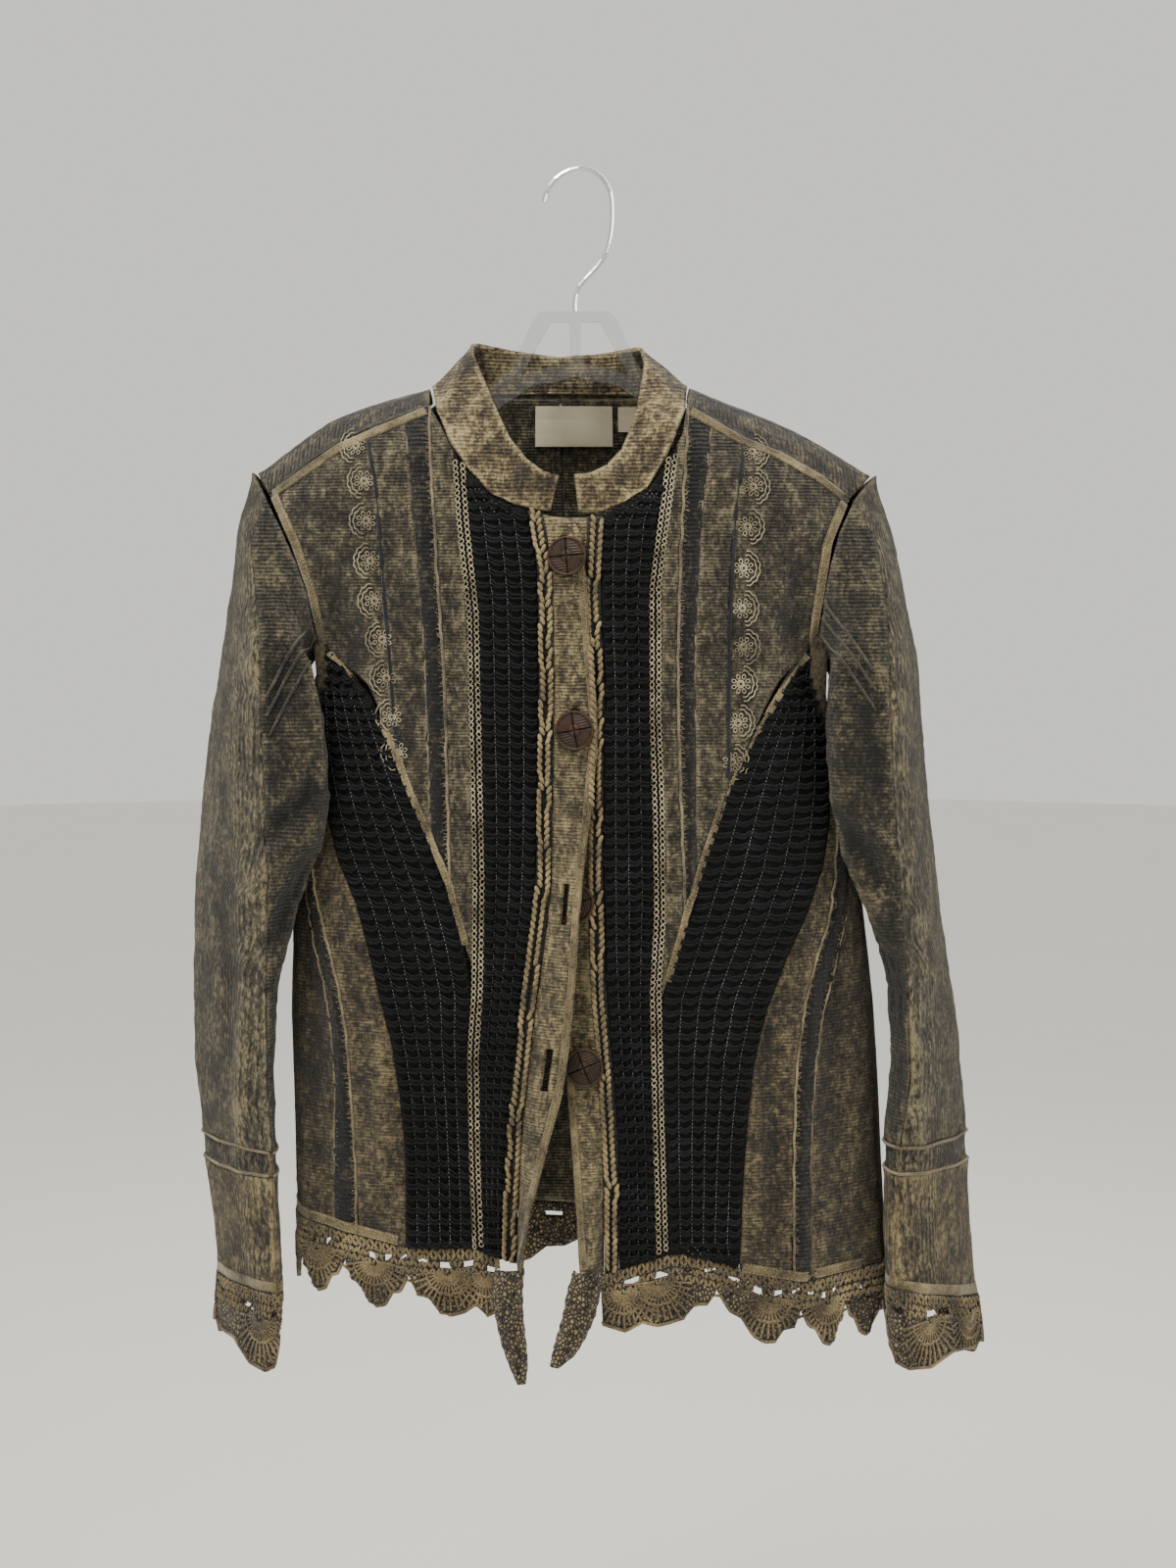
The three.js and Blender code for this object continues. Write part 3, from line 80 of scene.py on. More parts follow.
class Signal:
    def __init__(self, tree, socket):
        self.tree, self.socket = tree, socket

    def sum_with(self, operation, *terms, clamp=False):
        node = self.tree.nodes.new("ShaderNodeMath")
        node.operation, node.use_clamp = operation, clamp
        for place, term in enumerate(terms):
            if isinstance(term, Signal):
                self.tree.links.new(term.socket, node.inputs[place])
            else:
                node.inputs[place].default_value = term
        return Signal(self.tree, node.outputs[0])

    def __add__(self, other):
        return self.sum_with("ADD", self, other)

    def __sub__(self, other):
        return self.sum_with("SUBTRACT", self, other)

    def __rsub__(self, other):
        return self.sum_with("SUBTRACT", other, self)

    def __mul__(self, other):
        return self.sum_with("MULTIPLY", self, other)

    def __truediv__(self, other):
        return self.sum_with("DIVIDE", self, other)

    def __pow__(self, other):
        return self.sum_with("POWER", self, other)

    __radd__, __rmul__ = __add__, __mul__

    def wave(self):
        return self.sum_with("SINE", self)

    def held(self):
        """Kept between 0 and 1."""
        return self.sum_with("ADD", self, 0.0, clamp=True)

    def step(self, low, high):
        """0 below low and 1 above high, with a straight run between."""
        return ((self - low) / (high - low)).held()


class Finish:
    def __init__(self, name, **constants):
        self.material = bpy.data.materials.new(name)
        self.material.use_nodes = True
        self.tree = self.material.node_tree
        self.shader = self.tree.nodes["Principled BSDF"]
        for socket, value in constants.items():
            self.shader.inputs[socket.replace("_", " ")].default_value = value

    def node(self, kind, settings=None, output=0, **sockets):
        made = self.tree.nodes.new(kind)
        for key, value in (settings or {}).items():
            setattr(made, key, value)
        for key, value in sockets.items():
            socket = made.inputs[int(key[1:])] if key[0] == "i" and key[1:].isdigit() else made.inputs[key]
            if isinstance(value, Signal):
                self.tree.links.new(value.socket, socket)
            else:
                socket.default_value = value
        return Signal(self.tree, made.outputs[output])

    def place(self):
        return self.node("ShaderNodeTexCoord", output="Object")

    def flow(self):
        """Centimetres across and down the piece, from its own UV map."""
        return self.node("ShaderNodeUVMap", {"uv_map": "flow"})

    def parts(self, vector):
        split = self.tree.nodes.new("ShaderNodeSeparateXYZ")
        self.tree.links.new(vector.socket, split.inputs[0])
        return [Signal(self.tree, split.outputs[k]) for k in range(3)]

    def kept(self, name):
        return self.node("ShaderNodeAttribute", {"attribute_name": name}, output="Fac")

    def stretched(self, vector, x, y, z):
        return self.node("ShaderNodeMapping", Vector=vector, Scale=(x, y, z))

    def cloud(self, vector, scale, detail=3.0, roughness=0.6):
        return self.node(
            "ShaderNodeTexNoise", Vector=vector, Scale=scale, Detail=detail, Roughness=roughness
        )

    def cells(self, vector, scale, feature="F1"):
        return self.node("ShaderNodeTexVoronoi", {"feature": feature}, Vector=vector, Scale=scale)

    def mixed(self, mask, first, second):
        return self.node(
            "ShaderNodeMix", {"data_type": "RGBA"}, output=2, i0=mask, i6=first, i7=second
        )

    def set(self, colour=None, roughness=None, relief=None, depth=0.4):
        for socket, value in (("Base Color", colour), ("Roughness", roughness)):
            if value is not None:
                self.tree.links.new(value.socket, self.shader.inputs[socket])
        if relief is not None:
            bump = self.node("ShaderNodeBump", Height=relief, Strength=1.0, Distance=depth * MM)
            self.tree.links.new(bump.socket, self.shader.inputs["Normal"])
        return self.material


print("finishes are ready to mix")

# %% [markdown]
# ## Washed cotton
# The cloth was dyed black-brown, crinkled, and then washed pale. The dye stays in the
# troughs of the crinkle and goes from its crests and the seam edges, so the colour follows two values
# kept on each piece: `crest`, how far a point stands out, and `edge`, how far it is
# from the rim. `crest` also holds the creases of the hanging jacket, so their crests are painted pale and
# their troughs dark, as painted light and shade. Fine ribs run across or down the piece, as the flow map
# says.

# %% Washed cotton
def washed(name, dark, base, pale, ribs="across", pitch=1.6, streak=0.5, blotch=0.5, rim=0.7, sheen=0.15):
    mix = Finish(name, Sheen_Weight=sheen, Specular_IOR_Level=0.25)
    spot = mix.place()
    across, down, _ = mix.parts(mix.flow())
    patches = mix.cloud(spot, 34, 6, 0.68)
    grains = mix.cloud(mix.stretched(spot, 1, 1, 0.6), 260, 4, 0.72)
    crinkle = mix.cloud(mix.stretched(spot, 1.0, 1.0, 0.8), 420, 3, 0.75)
    slubs = mix.cloud(
        mix.stretched(
            mix.flow(), 9.0, 1.1, 1
        ) if ribs == "down" else mix.stretched(mix.flow(), 1.1, 9.0, 1),
        1.4, 3, 0.6
    )
    run = across if ribs == "down" else down
    wobble = mix.cloud(spot, 70, 2) * 2.4
    line = ((run * (20 * math.pi / pitch)) + wobble).wave() * 0.5 + 0.5
    weave = (down * (20 * math.pi / 0.55)).wave() * 0.25 + (across * (20 * math.pi / 0.55)).wave() * 0.25
    crest = mix.kept("crest")
    near_rim = 1 - mix.kept("edge").step(0.6, 4.2)
    seam = 1 - mix.kept("edge").step(0.0, 0.9)
    # The mask below mixes the cloth's own wash pattern with `crest`; through the hanger creases in `crest`
    # it paints their crests pale and their troughs dark, as painted light and shade.
    bleach_and_fold_shade = (
        (
            patches - 0.5
        ) * (1.7 * blotch) + (grains - 0.5) * 1.7 + (crinkle - 0.5) * 1.7 + (slubs - 0.5) * (1.5 * streak)
        + (crest * 0.34) + (line - 0.5) * 0.2 + near_rim * rim * 0.4 + 0.4
    ).held()
    colour = mix.mixed(bleach_and_fold_shade.step(0.08, 0.62), dark, base)
    colour = mix.mixed(bleach_and_fold_shade.step(0.52, 1.0), colour, pale)
    colour = mix.mixed(seam * 0.55, colour, tone(26, 22, 18))
    relief = line * 0.75 + crinkle * 1.7 + grains * 1.1 + weave * 0.35
    return mix.set(colour, 0.96 - grains * 0.12, relief, 1.15)


COTTON = washed(
    "washed_cotton", tone(30, 27, 22), tone(80, 73, 57), tone(136, 124, 97), pitch=2.2, blotch=0.42
)
RIBBED_PANEL = washed(
    "ribbed_panel", tone(30, 26, 20), tone(80, 70, 51), tone(132, 117, 86), pitch=2.4, streak=1.1,
    blotch=0.35
)
RIBBED_SLEEVE = washed(
    "ribbed_sleeve", tone(34, 31, 25), tone(84, 77, 59), tone(138, 126, 97), ribs="down", pitch=3.4,
    streak=1.4, blotch=0.32
)
# This finish is darker than the other cotton as painted shade: the undersides of the sleeves and the
# underarms turn away from the light.
CRUMPLED_SHADED = washed(
    "crumpled_under_sleeve_painted_shade", tone(22, 21, 18), tone(62, 57, 45), tone(116, 105, 80), pitch=2.6, blotch=0.7
)
YOKE_CLOTH = washed(
    "ribbed_yoke", tone(20, 19, 17), tone(58, 52, 42), tone(122, 109, 80), ribs="down", pitch=2.8,
    streak=1.5, blotch=0.4, rim=1.1
)
RAW_FILL = washed(
    "raw_strip_fill", tone(9, 9, 10), tone(22, 21, 20), tone(78, 69, 53), pitch=3.0, streak=0.6, blotch=0.7,
    rim=0.1
)
PLACKET_CLOTH = washed(
    "placket_cloth", tone(52, 46, 34), tone(116, 104, 76), tone(168, 152, 112), pitch=2.2, streak=1.1,
    blotch=0.5, rim=0.8
)
COLLAR_CLOTH = washed(
    "collar_cloth", tone(44, 37, 27), tone(112, 98, 70), tone(176, 159, 118), pitch=2.6, streak=0.4,
    blotch=1.0, rim=1.1
)
CUFF_CLOTH = washed(
    "cuff_cloth", tone(38, 32, 23), tone(96, 84, 60), tone(150, 134, 97), ribs="down", pitch=2.6,
    streak=1.2, blotch=0.5, rim=1.0
)
BRAID_GROUND = washed(
    "braid_ground", tone(14, 12, 9), tone(34, 28, 19), tone(78, 66, 44), pitch=3.0, rim=0.0
)
print("cotton finishes:", 10)

# %% [markdown]
# ## Threads, lace and the dark smocked mesh
# Crochet thread is a soft twist, painted pale on top and dark between the loops as painted
# light and shade. The smocked mesh is the same cotton left black, with a faint blue shine on its ridges that
# is painted into its palest tone as a painted highlight.

# %% Thread finishes
def thread(name, dark, base, pale, twist=900, sheen=0.3, depth=0.5):
    mix = Finish(name, Sheen_Weight=sheen, Specular_IOR_Level=0.3)
    spot = mix.place()
    patches = mix.cloud(spot, 40, 4, 0.6)
    strands = mix.cells(spot, twist)
    fluff = mix.cloud(spot, 1400, 2, 0.7)
    # Darker away from the strand cells: painted shade between the loops of the twist, over the thread's own
    # patchy tone.
    wear_and_painted_shade = ((patches - 0.5) * 1.6 + (fluff - 0.5) * 1.1 + 0.55 - strands * 0.35).held()
    colour = mix.mixed(wear_and_painted_shade.step(0.05, 0.5), dark, base)
    colour = mix.mixed(wear_and_painted_shade.step(0.5, 0.95), colour, pale)
    return mix.set(colour, 0.92 - fluff * 0.1, fluff + strands * -0.8, depth)


# The smocking's palest bluish-grey tone is a painted highlight standing in for the blue shine on its ridges;
# its near-black tones are its own colour.
SMOCKING = thread("black_smocking", tone(3, 3, 5), tone(9, 10, 14), tone(36, 38, 46), sheen=0.05)
SMOCK_BASE = thread("black_mesh_ground", tone(2, 2, 3), tone(5, 5, 7), tone(16, 16, 20), sheen=0.0)
STITCH_GREY = thread("grey_stitch_thread", tone(58, 58, 58), tone(104, 103, 99), tone(152, 150, 140))
CHAIN_THREAD = thread("chain_thread", tone(84, 74, 54), tone(176, 163, 130), tone(220, 210, 180))
BRAID_THREAD = thread("braid_thread", tone(60, 50, 33), tone(143, 124, 84), tone(190, 170, 124))
DAISY_THREAD = thread("daisy_thread", tone(84, 76, 58), tone(166, 154, 124), tone(214, 204, 174))
NAVY_TAPE = thread("navy_tape", tone(8, 9, 14), tone(22, 23, 31), tone(60, 60, 64))
LACE_THREAD = thread("crochet_thread", tone(42, 34, 23), tone(118, 101, 70), tone(178, 160, 118))
FRAY_THREAD = thread("frayed_thread", tone(56, 50, 37), tone(122, 109, 82), tone(176, 162, 126))
BAND_CLOTH = thread("seam_band", tone(52, 45, 31), tone(118, 104, 74), tone(164, 148, 110), twist=600)


def crochet_ground():
    """Loops about 2 mm wide: painted pale where a loop stands up and dark brown between them, as painted
    light and shade.
    """
    mix = Finish("crochet_ground", Sheen_Weight=0.2, Specular_IOR_Level=0.25)
    spot = mix.place()
    warped = mix.stretched(spot, 1, 1, 0.8)
    loops = mix.cells(warped, 430)
    # crevice darkens the edges of the loop cells: painted shade between the loops and painted light on their
    # tops.
    crevice = mix.cells(warped, 430, "DISTANCE_TO_EDGE").step(0.02, 0.26)
    wear_and_painted_shade = (
        crevice * 0.75 + (mix.cloud(spot, 60, 4) - 0.5) * 0.9 + (mix.cloud(spot, 1200, 2) - 0.5) * 0.5
    ).held()
    colour = mix.mixed(wear_and_painted_shade.step(0.05, 0.5), tone(20, 15, 10), tone(88, 73, 49))
    colour = mix.mixed(wear_and_painted_shade.step(0.5, 0.95), colour, tone(160, 142, 103))
    return mix.set(colour, 0.94 - crevice * 0.06, crevice + loops * -0.4, 1.6)


LACE_GROUND = crochet_ground()
print("thread finishes:", 11)

# %% [markdown]
# ## Buttons, label, plastic and wire
# The buttons are dark carved coconut or resin, so they have a dull polish. The label
# is bare woven satin. The hanger is clear moulded plastic and its hook bright wire.

# %% Hard finishes
def carved_shell():
    mix = Finish("carved_button", Specular_IOR_Level=0.32)
    spot = mix.place()
    patches = mix.cloud(spot, 130, 4)
    scratches = mix.cloud(mix.stretched(spot, 1, 1, 4), 600, 3)
    # The carved grooves are painted darker through hollow: painted shade in the hollows, mixed with the
    # button's own patchy tone and scratches.
    hollow = 1 - mix.kept("crest").held()
    wear_and_painted_shade = (patches * 0.6 + scratches * 0.4 - hollow * 0.42 + 0.05).held()
    colour = mix.mixed(wear_and_painted_shade.step(0.2, 0.75), tone(15, 9, 5), tone(74, 50, 30))
    return mix.set(colour, 0.62 - patches * 0.22, scratches + patches, 0.18)


def woven_label():
    mix = Finish("bare_label", Sheen_Weight=0.3, Specular_IOR_Level=0.35)
    _, _, height = mix.parts(mix.place())
    across, _, _ = mix.parts(mix.place())
    warp = (across * (2 * math.pi / 0.0006)).wave() * 0.5 + 0.5
    weft = (height * (2 * math.pi / 0.0005)).wave() * 0.5 + 0.5
    stain = mix.cloud(mix.place(), 60, 3)
    colour = mix.mixed((stain * 0.6 + warp * weft * 0.4).held(), tone(186, 174, 144), tone(217, 207, 180))
    return mix.set(colour, 0.7 - warp * 0.1, warp * weft + stain, 0.12)


def clear_plastic():
    mix = Finish("clear_plastic", Transmission_Weight=1.0, IOR=1.49, Specular_IOR_Level=0.5)
    ripples = mix.cloud(mix.place(), 35, 2)
    grazing = mix.node("ShaderNodeLayerWeight", output="Facing", Blend=0.35)
    # Grey is painted where the plastic is seen edge-on: painted shade and reflection at the hanger's edges.
    colour = mix.mixed((grazing ** 1.6 + ripples * 0.08).held(), tone(236, 240, 240), tone(120, 126, 128))
    return mix.set(colour, ripples * 0.06 + 0.03, ripples, 0.12)


def bright_wire():
    mix = Finish("chrome_wire", Metallic=1.0, Base_Color=tone(214, 215, 218))
    scuffs = mix.cloud(mix.stretched(mix.place(), 1, 1, 6), 300, 3)
    tarnish = mix.cloud(mix.place(), 50, 3)
    colour = mix.mixed(tarnish, tone(178, 180, 184), tone(232, 233, 236))
    return mix.set(colour, scuffs * 0.18 + 0.1, scuffs, 0.05)


CARVED, LABEL_SATIN, PLASTIC, CHROME = carved_shell(), woven_label(), clear_plastic(), bright_wire()
print("hard finishes:", 4)

# %% [markdown]
# ## Knowing a piece from its wall
# A frame node is a wall of loose triangles. A copy is merged into one skin, and long
# edges are cut until the skin can take a crease. Each point then learns four things:
# which way is outwards, how far it is from the rim, and how far across and down it is.

# %% Skins
FINE = 6.4 * MM
BODY_MIDDLE = lambda z: -0.010 - 0.042 * (z + 0.271)


def skin_of(node, longest=FINE):
    skin = bmesh.new()
    skin.from_mesh(nodes[node].data)
    bmesh.ops.remove_doubles(skin, verts=skin.verts, dist=1e-6)
    for _ in range(6):
        long = [e for e in skin.edges if e.calc_length() > longest]
        if not long:
            break
        bmesh.ops.subdivide_edges(skin, edges=long, cuts=1)
        bmesh.ops.triangulate(skin, faces=[f for f in skin.faces if len(f.verts) > 3])
    skin.normal_update()
    rim = {v for e in skin.edges if len(e.link_faces) == 2 and e.calc_face_angle(0) > 0.9 for v in e.verts}
    free = [v for v in skin.verts if v not in rim]
    for _ in range(5):
        bmesh.ops.smooth_vert(
            skin, verts=free, factor=0.5, use_axis_x=True, use_axis_y=True, use_axis_z=True
        )
    skin.normal_update()
    return skin, rim


def sleeve_line(hand):
    """Middle of the sleeve at each height, from the box of its nodes there."""
    heights = np.linspace(-0.78, -0.19, 60)
    points = np.concatenate([
        np.array([v.co for v in nodes[n].data.vertices])
        for n in nodes if n.endswith(hand) or n.startswith("cuff_lace") and hand in n
        if n.startswith(("sleeve", "cuff"))
    ])
    middles = []
    for z in heights:
        near = points[np.abs(points[:, 2] - z) < 0.03]
        middles.append((near[:, :2].min(0) + near[:, :2].max(0)) / 2 if len(near) else middles[-1])
    return heights, np.array(middles)


SLEEVE_LINES = {hand: sleeve_line(hand) for hand in ("left", "right")}


def axis_at(kind, z):
    if kind in SLEEVE_LINES:
        heights, middles = SLEEVE_LINES[kind]
        return np.interp(z, heights, middles[:, 0]), np.interp(z, heights, middles[:, 1])
    if kind == "neck":
        return np.full_like(z, -0.013), np.full_like(z, -0.008)
    return BODY_MIDDLE(z), np.zeros_like(z)


def outward_hint(kind, points):
    middle_x, middle_y = axis_at(kind, points[:, 2])
    hint = np.zeros_like(points)
    wide, deep = (0.2, 0.062) if kind == "body" else (1, 1)
    hint[:, 0] = (points[:, 0] - middle_x) / wide ** 2
    hint[:, 1] = (points[:, 1] - middle_y) / deep ** 2
    if kind == "body":
        hint[:, 2] = np.clip((points[:, 2] + 0.235) / 0.04, 0, 2) * 14
    return hint / np.maximum(np.linalg.norm(hint, axis=1, keepdims=True), 1e-9)


def kind_of(name):
    if name.startswith(("sleeve", "cuff")):
        return "left" if "left" in name else "right"
    return "neck" if name == "collar" else "body"


print(
    "sleeve middles at the elbow:", [tuple(axis_at(h, np.array([-0.45]))[0].round(3)) for h in SLEEVE_LINES]
)

# %% [markdown]
# ## Creases
# Cotton on a hanger falls in a few long soft folds, and it breaks into short creases
# at the elbow, at the armpit and beside the buttons. Each crease here is a line on the
# front or back with a width and a depth, faded at its ends and made uneven by noise.
# Over them goes the small crinkle that the cloth was made with.

# %% Creases
# Each: where, side (-1 front, 1 back), x and z of both ends, width and depth, in mm.
CREASES = [
    ("left", -1, -168, -420, -212, -462, 7, -4.0), ("left", -1, -172, -446, -222, -500, 8, 3.0),
    ("left", -1, -174, -470, -210, -535, 7, -3.4), ("left", -1, -178, -505, -205, -560, 7, 2.4),
    ("left", -1, -190, -335, -208, -400, 8, -3.0), ("left", -1, -200, -300, -222, -360, 9, 2.4),
    ("left", -1, -238, -470, -240, -640, 8, -2.6), ("left", -1, -226, -560, -232, -700, 6, 2.2),
    ("left", 1, -190, -420, -240, -480, 9, -4.0), ("left", 1, -190, -470, -245, -520, 9, 3.0),
    ("left", 1, -200, -520, -244, -590, 8, -3.2), ("left", 1, -215, -300, -240, -420, 9, 2.6),
    ("right", -1, 176, -445, 206, -492, 8, -4.2), ("right", -1, 178, -470, 212, -530, 8, 3.2),
    ("right", -1, 182, -505, 214, -575, 7, -3.2), ("right", -1, 186, -350, 200, -430, 8, -3.2),
    ("right", -1, 192, -320, 214, -395, 9, 2.6), ("right", -1, 210, -480, 214, -650, 8, -2.6),
    ("right", -1, 236, -270, 246, -480, 9, -1.8), ("right", -1, 226, -560, 232, -690, 7, 2.2),
    ("right", 1, 180, -430, 230, -480, 9, -4.0), ("right", 1, 184, -480, 236, -535, 9, 3.0),
    ("right", 1, 196, -540, 240, -600, 8, -3.0), ("right", 1, 214, -300, 236, -430, 9, 2.4),
    ("body", -1, -176, -262, -150, -345, 9, -1.8), ("body", -1, 158, -262, 140, -350, 9, -1.8),
    ("body", -1, -186, -480, -176, -690, 10, -2.6), ("body", -1, 172, -480, 176, -690, 10, -2.6),
    ("body", -1, -128, -560, -138, -720, 9, 2.0), ("body", -1, 124, -560, 134, -740, 9, -2.0),
    ("body", 1, -150, -250, -110, -420, 12, -3.0), ("body", 1, 130, -250, 96, -420, 12, -3.0),
    ("body", 1, -60, -400, -72, -720, 12, 3.0), ("body", 1, 40, -380, 58, -720, 12, -3.0),
    ("body", 1, 110, -460, 132, -720, 12, 3.0), ("body", 1, -130, -460, -150, -710, 12, -3.0),
    ("body", 1, -14, -300, -8, -700, 14, 2.4),
    ("neck", -1, -44, -196, -52, -236, 6, -1.6), ("neck", -1, 26, -204, 40, -234, 6, -1.6),
    ("neck", -1, -66, -160, -84, -200, 7, 1.4), ("neck", -1, 44, -160, 62, -196, 7, 1.3),
]


def uneven(points, scale, seed):
    """Smooth seeded noise from -1 to 1 at each point; scale is its size in metres."""
    shift = Vector((seed * 7.13, seed * 3.7, seed * 1.9))
    return np.array([noise.noise(Vector(p) / scale + shift) for p in points])


def crease_depth(kind, points, outward):
    side = np.where(outward[:, 1] < 0, -1, 1)
    facing = np.clip(np.abs(outward[:, 1]) * 2.2, 0, 1)
    total = np.zeros(len(points))
    wander = uneven(points, 0.03, 5) * 2.2 * MM
    for place, which, x0, z0, x1, z1, width, depth in CREASES:
        if place != kind:
            continue
        start, end = np.array([x0, z0]) * MM, np.array([x1, z1]) * MM
        run = end - start
        offset = points[:, [0, 2]] - start
        along = offset @ run / (run @ run)
        away = (offset[:, 0] * run[1] - offset[:, 1] * run[0]) / math.hypot(*run) + wander
        fade = np.sin(np.pi * np.clip(along * 0.9 + 0.05, 0, 1)) ** 0.8
        total += np.where(
            side == which, depth * MM * fade * np.exp(-((away / (width * MM)) ** 2)), 0
        ) * facing
    return total


print("creases laid by hand:", len(CREASES))

# %% Cloth pieces
def slices(points, edges, angles, heights):
    """Lowest and highest angle where the skin's edges cross each height."""
    low, high = np.full(len(heights), np.inf), np.full(len(heights), -np.inf)
    a, b = edges[:, 0], edges[:, 1]
    za, zb = points[a, 2], points[b, 2]
    for k, z in enumerate(heights):
        cross = (np.minimum(za, zb) <= z) & (np.maximum(za, zb) >= z) & (np.abs(zb - za) > 1e-9)
        if not cross.any():
            continue
        share = (z - za[cross]) / (zb[cross] - za[cross])
        at = angles[a[cross]] * (1 - share) + angles[b[cross]] * share
        low[k], high[k] = at.min(), at.max()
    good = np.isfinite(low)
    return np.interp(heights, heights[good], low[good]), np.interp(heights, heights[good], high[good])


def angle_round(kind, points, turn):
    middle_x, middle_y = axis_at(kind, points[:, 2])
    raw = np.arctan2(points[:, 0] - middle_x, -(points[:, 1] - middle_y))
    return (raw - turn + np.pi) % (2 * np.pi) - np.pi


def dressed(name, finish, crinkle, longest=FINE):
    """The node's wall as a creased piece of cloth, with its flow map, crest and edge."""
    kind = kind_of(name)
    skin, rim = skin_of(name, longest)
    skin.verts.index_update()
    points = np.array([v.co for v in skin.verts])
    normals = np.array([v.normal for v in skin.verts])
    hint = outward_hint(kind, points)
    sign = np.where(np.einsum("ij,ij->i", normals, hint) < 0, -1.0, 1.0)
    outward = normals * sign[:, None]
    is_rim = np.zeros(len(points), bool)
    is_rim[[v.index for v in rim]] = True
    edges = np.array([[v.index for v in e.verts] for e in skin.edges])
    total, count = np.zeros_like(points), np.zeros(len(points))
    for a, b in ((0, 1), (1, 0)):
        free = ~is_rim[edges[:, b]]
        np.add.at(total, edges[free, a], outward[edges[free, b]])
        np.add.at(count, edges[free, a], 1)
    known = is_rim & (count > 0)
    outward[known] = total[known]
    outward[is_rim & (count == 0)] = hint[is_rim & (count == 0)]
    outward /= np.maximum(np.linalg.norm(outward, axis=1, keepdims=True), 1e-9)
    # rims reach towards the next piece, so that seams are shut
    inside, near = np.zeros_like(points), np.zeros(len(points))
    for a, b in ((0, 1), (1, 0)):
        free = ~is_rim[edges[:, b]]
        np.add.at(inside, edges[free, a], points[edges[free, b]])
        np.add.at(near, edges[free, a], 1)
    known = is_rim & (near > 0)
    reach = points[known] - inside[known] / near[known, None]
    reach -= outward[known] * np.einsum("ij,ij->i", reach, outward[known])[:, None]
    reach /= np.maximum(np.linalg.norm(reach, axis=1, keepdims=True), 1e-9)
    spread = np.zeros_like(points)
    spread[known] = reach * SEAM_REACH
    # how far from the rim
    tree = KDTree(max(len(rim), 1))
    for v in rim:
        tree.insert(v.co, v.index)
    tree.balance()
    away = np.array([tree.find(v.co)[2] if rim else 0.02 for v in skin.verts])
    # the flow map
    middle = points.mean(0)
    turn = float(angle_round(kind, middle[None, :], 0)[0])
    angles = angle_round(kind, points, turn)
    radius = float(
        np.hypot(*(points - np.stack([*axis_at(kind, points[:, 2]), points[:, 2]], 1))[:, :2].T).mean()
    )
    if kind == "body":
        across = np.where(
            np.abs(outward[:, 1]) > 0.35, points[:, 0], np.sign(points[:, 0]) * 0.2 + points[:, 1]
        )
    else:
        across = angles * radius
    # creases, crinkle and a slow swell
    puckers = uneven(points * (1, 1, 0.62), 0.011, 3) * 0.6 + uneven(points * (1, 1, 0.8), 0.0045, 8) * 0.5
    swell = uneven(points, 0.045, 1)
    quiet = np.clip(away / (5 * MM), 0.25, 1)
    fold = crease_depth(kind, points, outward)
    move = fold * CREASE_GAIN + (puckers * crinkle * PUCKER_GAIN + swell * SWELL_GAIN) * MM * quiet
    placed = points + outward * move[:, None] + spread
    for v, p in zip(skin.verts, placed):
        v.co = p
    skin.normal_update()
    mesh = bpy.data.meshes.new(name)
    skin.to_mesh(mesh)
    skin.free()
    # crest holds the crinkle and the creases of the hanging jacket; the washed finishes paint the crease
    # crests pale and their troughs dark from it, as painted light and shade.
    crest = np.clip(puckers * 1.5 + fold / (3 * MM), -1.2, 1.2)
    mesh.attributes.new("crest", "FLOAT", "POINT").data.foreach_set("value", crest.astype(np.float32))
    mesh.attributes.new("edge", "FLOAT", "POINT").data.foreach_set("value", (away / MM).astype(np.float32))
    corner = np.zeros(len(mesh.loops), np.int32)
    mesh.loops.foreach_get("vertex_index", corner)
    flow = mesh.uv_layers.new(name="flow")
    flow.data.foreach_set(
        "uv", np.stack([across[corner] * 100, points[corner, 2] * 100], 1).ravel().astype(np.float32)
    )
    mesh.polygons.foreach_set("use_smooth", np.ones(len(mesh.polygons), bool))
    mesh.materials.append(finish)
    piece = bpy.data.objects.new("cloth_" + name, mesh)
    bpy.context.scene.collection.objects.link(piece)
    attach(piece, "root")
    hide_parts(name)
    return piece


CLOTH = {}
SEAM_REACH = 0.45 * MM
CREASE_GAIN, PUCKER_GAIN, SWELL_GAIN = 1.35, 1.3, 1.4
COLLAR_FINE, LACE_FINE = 4.2 * MM, 4.6 * MM
BODY_FINISH = {
    "chest": (
        COTTON, "cloth", 0.8
    ), "middle_strip": (COTTON, "cloth", 0.6), "inner_strip": (COTTON, "cloth", 0.7),
    "raw_strip": (RAW_FILL, "dark_cloth", 1.1), "low_raw_strip": (RAW_FILL, "dark_cloth", 1.1),
    "chain_trim": (SMOCK_BASE, "trim", 0.1), "centre_mesh": (SMOCK_BASE, "mesh", 0.3),
    "braid": (BRAID_GROUND, "trim", 0.1), "placket": (PLACKET_CLOTH, "placket", 0.45),
    "side_mesh": (SMOCK_BASE, "mesh", 0.3), "low_front_panel": (RIBBED_PANEL, "cloth", 0.7),
    "side_panel": (RIBBED_PANEL, "cloth", 0.7), "yoke": (YOKE_CLOTH, "dark_cloth", 0.5),
    "back": (COTTON, "cloth", 0.8), "sleeve_top": (RIBBED_SLEEVE, "cloth", 0.7),
    "sleeve_under": (CRUMPLED_SHADED, "cloth", 1.2), "sleeve_raw_strip": (RAW_FILL, "dark_cloth", 1.0),
    "sleeve_band": (YOKE_CLOTH, "dark_cloth", 0.5), "cuff": (CUFF_CLOTH, "cloth", 0.7),
}
for hand in ("left", "right"):
    for part, (finish, slot, crinkle) in BODY_FINISH.items():
        CLOTH[f"{part}_{hand}"] = dressed(f"{part}_{hand}", finish, crinkle)
